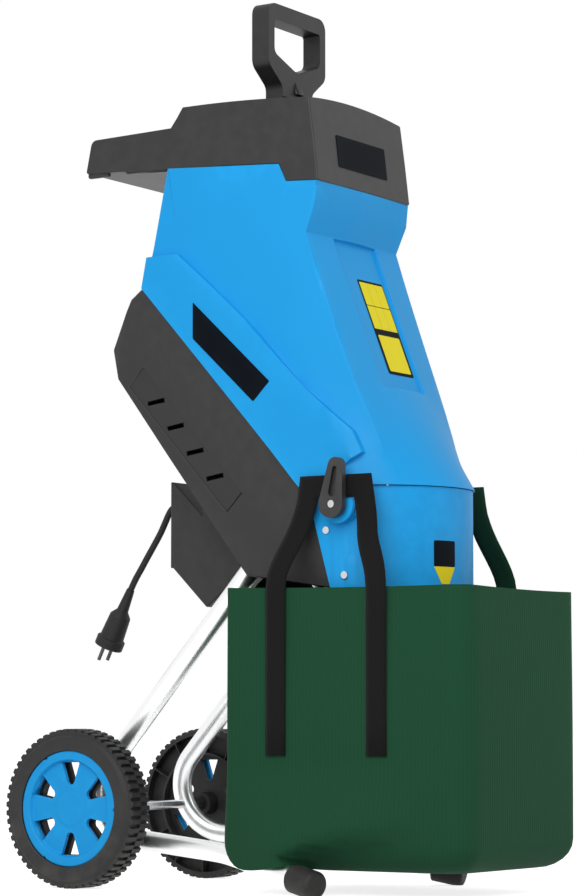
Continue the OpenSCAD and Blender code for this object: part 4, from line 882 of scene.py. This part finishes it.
    def belly(self, bm, low, high, fold, inset, sizes):
        """Rounds the floor's edges, swells the sides, shapes the rim and lays the cloth over the legs."""
        middle, half = (low + high) / 2, (high - low) / 2
        cover = self.TUBE_R + self.ROOM + sizes.bag_wall - inset - half.x
        for v in bm.verts:
            spot = place_of(v)
            rise = (v.co.z - low.z) / (high.z - low.z)
            across = (v.co.x - middle.x) / half.x
            along = (v.co.y - middle.y) / half.y
            under = min(1.0, max(0.0, (low.z + fold - v.co.z) / fold))
            tuck = fold * (1 - math.sqrt(1 - under ** 2))
            swell = sizes.bag_bulge * math.sin(math.pi * min(1.0, max(0.0, rise))) ** 1.5
            held = self.held(spot.y - self.INNER_LEAD * inset, spot.z)
            v.co.x += math.copysign(swell, across) * (1 - along ** 2) * abs(across) ** 3
            v.co.x -= across * tuck * (1 - held)
            v.co.y += math.copysign(swell, along) * (1 - across ** 2) * abs(along) ** 3 - along * tuck
            if abs(rise - 1) < 0.001:
                v.co.z += self.rim_lift(spot, across, along)
            beside = held * ease((abs(across) * half.x - self.BESIDE) / self.BESIDE_RUN)
            out = max(0.0, self.leg_x(max(v.co.y - AXLE.y, self.LEAVES / 1000)) + cover)
            flare = ease((self.FLARE_TOP - spot.z) / self.FLARE_TALL)
            v.co.x += math.copysign(out * flare * beside, v.co.x)
            v.co.z += self.HEM_LIFT * under * beside * ease((self.HEM_START - spot.y) / self.HEM_RUN)

    def rim_lift(self, spot, across, along):
        """Height of the rim over a level one: its sag, its rise to the back and the back flap."""
        sag = self.RIM_SAG * (1 - (along if abs(across) > self.SIDE_SHARE else across) ** 2)
        flap = ease((spot.y - self.FLAP_BACK[0]) / self.FLAP_BACK[1])
        flap *= ease((self.FLAP_HALF[0] - abs(spot.x)) / self.FLAP_HALF[1])
        return self.RIM_RISE * (along + 1) / 2 - sag + self.FLAP_TALL * flap

    def held(self, y, z):
        """How far the leg holds out the cloth: all behind the foot cap, nothing in front of it."""
        above = max(0.0, z - self.LEAVE_TOP)
        grown, moved = (min(limit, slope * above) for slope, limit in (self.RUN_GROWS, self.RUN_MOVES))
        reach = self.LEAVE_RUN + grown
        return ease((y - self.LEAVES + moved + reach) / reach)

    def leg_x(self, y):
        """Distance of a lower leg from the middle, at a place along the bag."""
        start, knee, foot = (Vector(p) / 1000 for p in self.LEG)
        a, b = (start, knee) if y > knee.y else (knee, foot)
        return a.x + (b.x - a.x) * (y - a.y) / (b.y - a.y)

    def unwrap(self, bm, low, high):
        """Lays the cloth flat: girth along u and height along v, in metres."""
        layer = bm.loops.layers.uv.new("cloth")
        for face in bm.faces:
            normal = face.normal
            for loop in face.loops:
                co = loop.vert.co
                if abs(normal.z) > self.FLOOR_SLOPE:
                    loop[layer].uv = (co.x, co.y)
                else:
                    loop[layer].uv = (self.girth(co, low, high), co.z)

    def girth(self, co, low, high):
        """Distance round the bag from its left back corner."""
        r = self.CORNER[0]
        depth, width = high.y - low.y, high.x - low.x
        arc = r * math.pi / 2
        if co.y > low.y + r:
            side = high.y - co.y
            if co.x < low.x + self.SIDE_DEEP:
                return side
            if co.x > high.x - self.SIDE_DEEP:
                return 2 * arc + 2 * depth + width - 4 * r - side
            return co.x
        if co.x < low.x + r:
            return depth - r + r * math.atan2(low.y + r - co.y, max(1e-6, low.x + r - co.x))
        if co.x > high.x - r:
            turn = math.atan2(max(1e-6, co.x - high.x + r), low.y + r - co.y)
            return depth - r + arc + width - 2 * r + r * turn
        return depth - r + arc + co.x - low.x - r


class SHREDDER_OT_straps(bpy.types.Operator):
    """Hangs the bag on its two webbing straps"""

    bl_idname = "shredder.straps"
    bl_label = "Straps"

    # Middle lines of the straps' ends, from the bag up to the band on top, as y and z
    REAR = [(-297, 68), (-297, 150), (-297, 230), (-297, 272), (-301, 296), (-311, 320), (-322.5, 345),
            (-332, 369), (-336, 393)]
    FRONT = {-1: [(-440, 68), (-440, 150), (-440, 230), (-440, 272), (-435.5, 295), (-426, 317),
                  (-420.5, 334), (-418, 360), (-413, 393)],
             1: [(-457, 68), (-457, 150), (-457, 230), (-457, 272), (-453, 296), (-444, 320), (-433, 345),
                 (-424, 369), (-420, 393)]}
    # Between these heights a strap bends in from the bag's side to its peg
    RIM_Z, PEG_Z = 272.0, 352.0
    # Gap between strap and bag, in metres
    GAP = 0.0003
    # Cells across the webbing, along the band on top, and between two points of an end
    CELLS, BAND_CELLS, END_CELLS = 4, 5, 2

    def execute(self, context):
        sizes = context.scene.shredder_sizes
        on_bag = BAG_HALF + self.GAP + sizes.strap_t / 2 + sizes.bag_bulge
        on_peg = -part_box("left_strap")[1].x + sizes.strap_t / 2
        for side, node in ((-1, "left_strap"), (1, "right_strap")):
            bm = self.webbing(side, on_bag, on_peg, sizes.strap_w)
            strap = add_piece(node + "_webbing", bm, finish_of[node], "base", crease=50.0)
            wall = strap.modifiers.new("webbing", "SOLIDIFY")
            wall.thickness = sizes.strap_t
            wall.offset = 0.0
            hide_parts(node)
        return {"FINISHED"}

    def line(self, side):
        """Middle line of a strap in the side view, from one end over the band to the other."""
        ends = ([Vector(p) for p in end] for end in (self.REAR, self.FRONT[side]))
        rear, front = (smooth_through(end, self.END_CELLS) for end in ends)
        band = [rear[-1].lerp(front[-1], k / self.BAND_CELLS) for k in range(1, self.BAND_CELLS)]
        return rear + band + front[::-1]

    def webbing(self, side, on_bag, on_peg, width):
        """A flat strap laid along its line, with its length along v."""
        path = self.line(side)
        last = len(path) - 1
        ways = [(b - a).normalized() for a, b in zip(path, path[1:])]
        run = [0.0]
        for a, b in zip(path, path[1:]):
            run.append(run[-1] + (b - a).length)
        bm = bmesh.new()
        bmesh.ops.create_grid(bm, x_segments=self.CELLS, y_segments=last, size=0.5)
        layer = bm.loops.layers.uv.new("cloth")
        flat = {}
        for v in bm.verts:
            i = min(last, round((v.co.y + 0.5) * last))
            share = v.co.x
            before, after = ways[max(0, i - 1)], ways[min(last - 1, i)]
            normal = Vector((-before.y, before.x)) + Vector((-after.y, after.x))
            normal = normal / max(0.5, normal.length_squared / 2)
            place = path[i] + normal * (share * width * 1000)
            bend = ease((place.y - self.RIM_Z) / (self.PEG_Z - self.RIM_Z))
            spot = at(0, place.x, place.y)
            spot.x = side * (on_bag + (on_peg - on_bag) * bend)
            flat[v.index] = (share * width, run[i] / 1000)
            v.co = spot
        for face in bm.faces:
            for loop in face.loops:
                loop[layer].uv = flat[loop.vert.index]
        bmesh.ops.recalc_face_normals(bm, faces=bm.faces)
        return bm


class SHREDDER_OT_plates(bpy.types.Operator):
    """Fixes the bare plates to cover, hopper and chute"""

    bl_idname = "shredder.plates"
    bl_label = "Bare plates"

    # Directions in which plates are pressed on: from the front, and from either side
    FRONT, LEFT, RIGHT = Vector((0, 1, 0)), Vector((1, 0, 0)), Vector((-1, 0, 0))
    # Corners of the slanting side plates, as y and z, and of the chute plate's tip, as x and z
    SIDE = [(-154.5, 636), (-154.5, 590), (-246, 505), (-270, 529)]
    TIP = [(-48, 297), (-14, 297), (-25, 276), (-37, 276)]
    # Upper yellow fields: first corner, columns, pitch and size across and down
    FIELD_AT, COLUMNS, FIELD_PITCH, FIELD_SIZE = (-14.5, 661), 3, (18.6, 31), (17.8, 30)
    # Plates are drawn this far in front of the object or beside it, cut into cells and sunk a little
    AHEAD, ASIDE, CELLS, SINK = -900, 400, 10, 0.0004

    def execute(self, context):
        front, hopper, black, yellow = self.FRONT, "hopper_shell", "plate_black", "plate_yellow"
        self.fix("cover_plate", "hopper_cover", black, front, self.oblong(-58, 842, 116, 41), 0.0009, 0.002)
        self.fix("left_side_plate", hopper, black, self.LEFT, self.SIDE, 0.0007, 0.0015)
        self.fix("right_side_plate", hopper, black, self.RIGHT, self.SIDE, 0.0007, 0.0015)
        self.fix("front_plate", hopper, black, front, self.oblong(-17, 664, 60, 123), 0.0006, 0.0025)
        for k in range(2 * self.COLUMNS):
            x = self.FIELD_AT[0] + self.FIELD_PITCH[0] * (k % self.COLUMNS)
            z = self.FIELD_AT[1] - self.FIELD_PITCH[1] * (k // self.COLUMNS)
            field = self.oblong(x, z, *self.FIELD_SIZE)
            self.fix(f"front_field_{k + 1}", hopper, yellow, front, field, 0.0010, 0.0008)
        self.fix("front_field_lower", hopper, yellow, front, self.oblong(-12, 592, 50, 47), 0.0010, 0.0015)
        self.fix("chute_plate", "chute", black, front, self.oblong(-48, 329, 34, 32), 0.0006, 0.002)
        self.fix("chute_plate_tip", "chute", yellow, front, self.TIP, 0.0006, 0.001)
        return {"FINISHED"}

    def oblong(self, x, z, width, height):
        """Corners of an upright oblong, from its upper left one."""
        return [(x, z), (x + width, z), (x + width, z - height), (x, z - height)]

    def fix(self, name, node, finish, way, outline, lift, radius):
        """Lays a thin plate on a shell: drawn flat in front of it, then pressed back along a direction."""
        shell = bmesh.new()
        shell.from_mesh(nodes[node].data)
        tree = BVHTree.FromBMesh(shell)
        shell.free()
        bm = bmesh.new()
        from_front = way == self.FRONT
        spots = [at(a, self.AHEAD, b) if from_front else at(-way.x * self.ASIDE, a, b) for a, b in outline]
        bm.faces.new([bm.verts.new(p) for p in spots])
        bmesh.ops.bevel(bm, geom=bm.verts[:], offset=radius, affect="VERTICES", segments=3, profile=0.5,
                        material=-1)
        for axis in ((0, 2) if from_front else (1, 2)):
            places = [v.co[axis] for v in bm.verts]
            low, high = min(places), max(places)
            normal = Vector([1.0 if k == axis else 0.0 for k in range(3)])
            for step in range(1, self.CELLS):
                slice_through(bm, normal * (low + (high - low) * step / self.CELLS), normal)
        for v in bm.verts:
            hit = tree.ray_cast(v.co, way)[0]
            if hit is None:
                raise RuntimeError(f"{name} misses {node}")
            v.co = hit - way * lift
        made = bmesh.ops.extrude_face_region(bm, geom=bm.faces[:])["geom"]
        bmesh.ops.translate(bm, verts=[g for g in made if isinstance(g, bmesh.types.BMVert)],
                            vec=way * (lift + self.SINK))
        bmesh.ops.recalc_face_normals(bm, faces=bm.faces)
        add_piece(name, bm, finish, body_of(node), crease=40.0)


class SHREDDER_PT_panel(bpy.types.Panel):
    """Lists the steps that dress the shredder"""

    bl_label = "Garden shredder"
    bl_idname = "SHREDDER_PT_panel"
    bl_space_type = "VIEW_3D"
    bl_region_type = "UI"
    bl_category = "Shredder"

    def draw(self, context):
        for operator in STEPS:
            self.layout.operator(operator.bl_idname)
        scene = context.scene
        for group in (scene.shredder_paint, scene.shredder_sizes, scene.shredder_stage):
            column = self.layout.column()
            for key in group.__annotations__:
                column.prop(group, key)


STEPS = (SHREDDER_OT_stage, SHREDDER_OT_finishes, SHREDDER_OT_mains_lead, SHREDDER_OT_moulded_shells,
         SHREDDER_OT_catch_bag, SHREDDER_OT_straps, SHREDDER_OT_plates)
CLASSES = (ShredderPaint, ShredderSizes, ShredderStage, *STEPS, SHREDDER_PT_panel)


def register():
    for cls in CLASSES:
        bpy.utils.register_class(cls)
    bpy.types.Scene.shredder_paint = bpy.props.PointerProperty(type=ShredderPaint)
    bpy.types.Scene.shredder_sizes = bpy.props.PointerProperty(type=ShredderSizes)
    bpy.types.Scene.shredder_stage = bpy.props.PointerProperty(type=ShredderStage)


def unregister():
    del bpy.types.Scene.shredder_stage
    del bpy.types.Scene.shredder_sizes
    del bpy.types.Scene.shredder_paint
    for cls in reversed(CLASSES):
        bpy.utils.unregister_class(cls)


def main():
    register()
    bpy.ops.shredder.stage()
    bpy.ops.shredder.finishes()
    bpy.ops.shredder.mains_lead()
    bpy.ops.shredder.moulded_shells()
    bpy.ops.shredder.catch_bag()
    bpy.ops.shredder.straps()
    bpy.ops.shredder.plates()


if __name__ == "__main__":
    main()
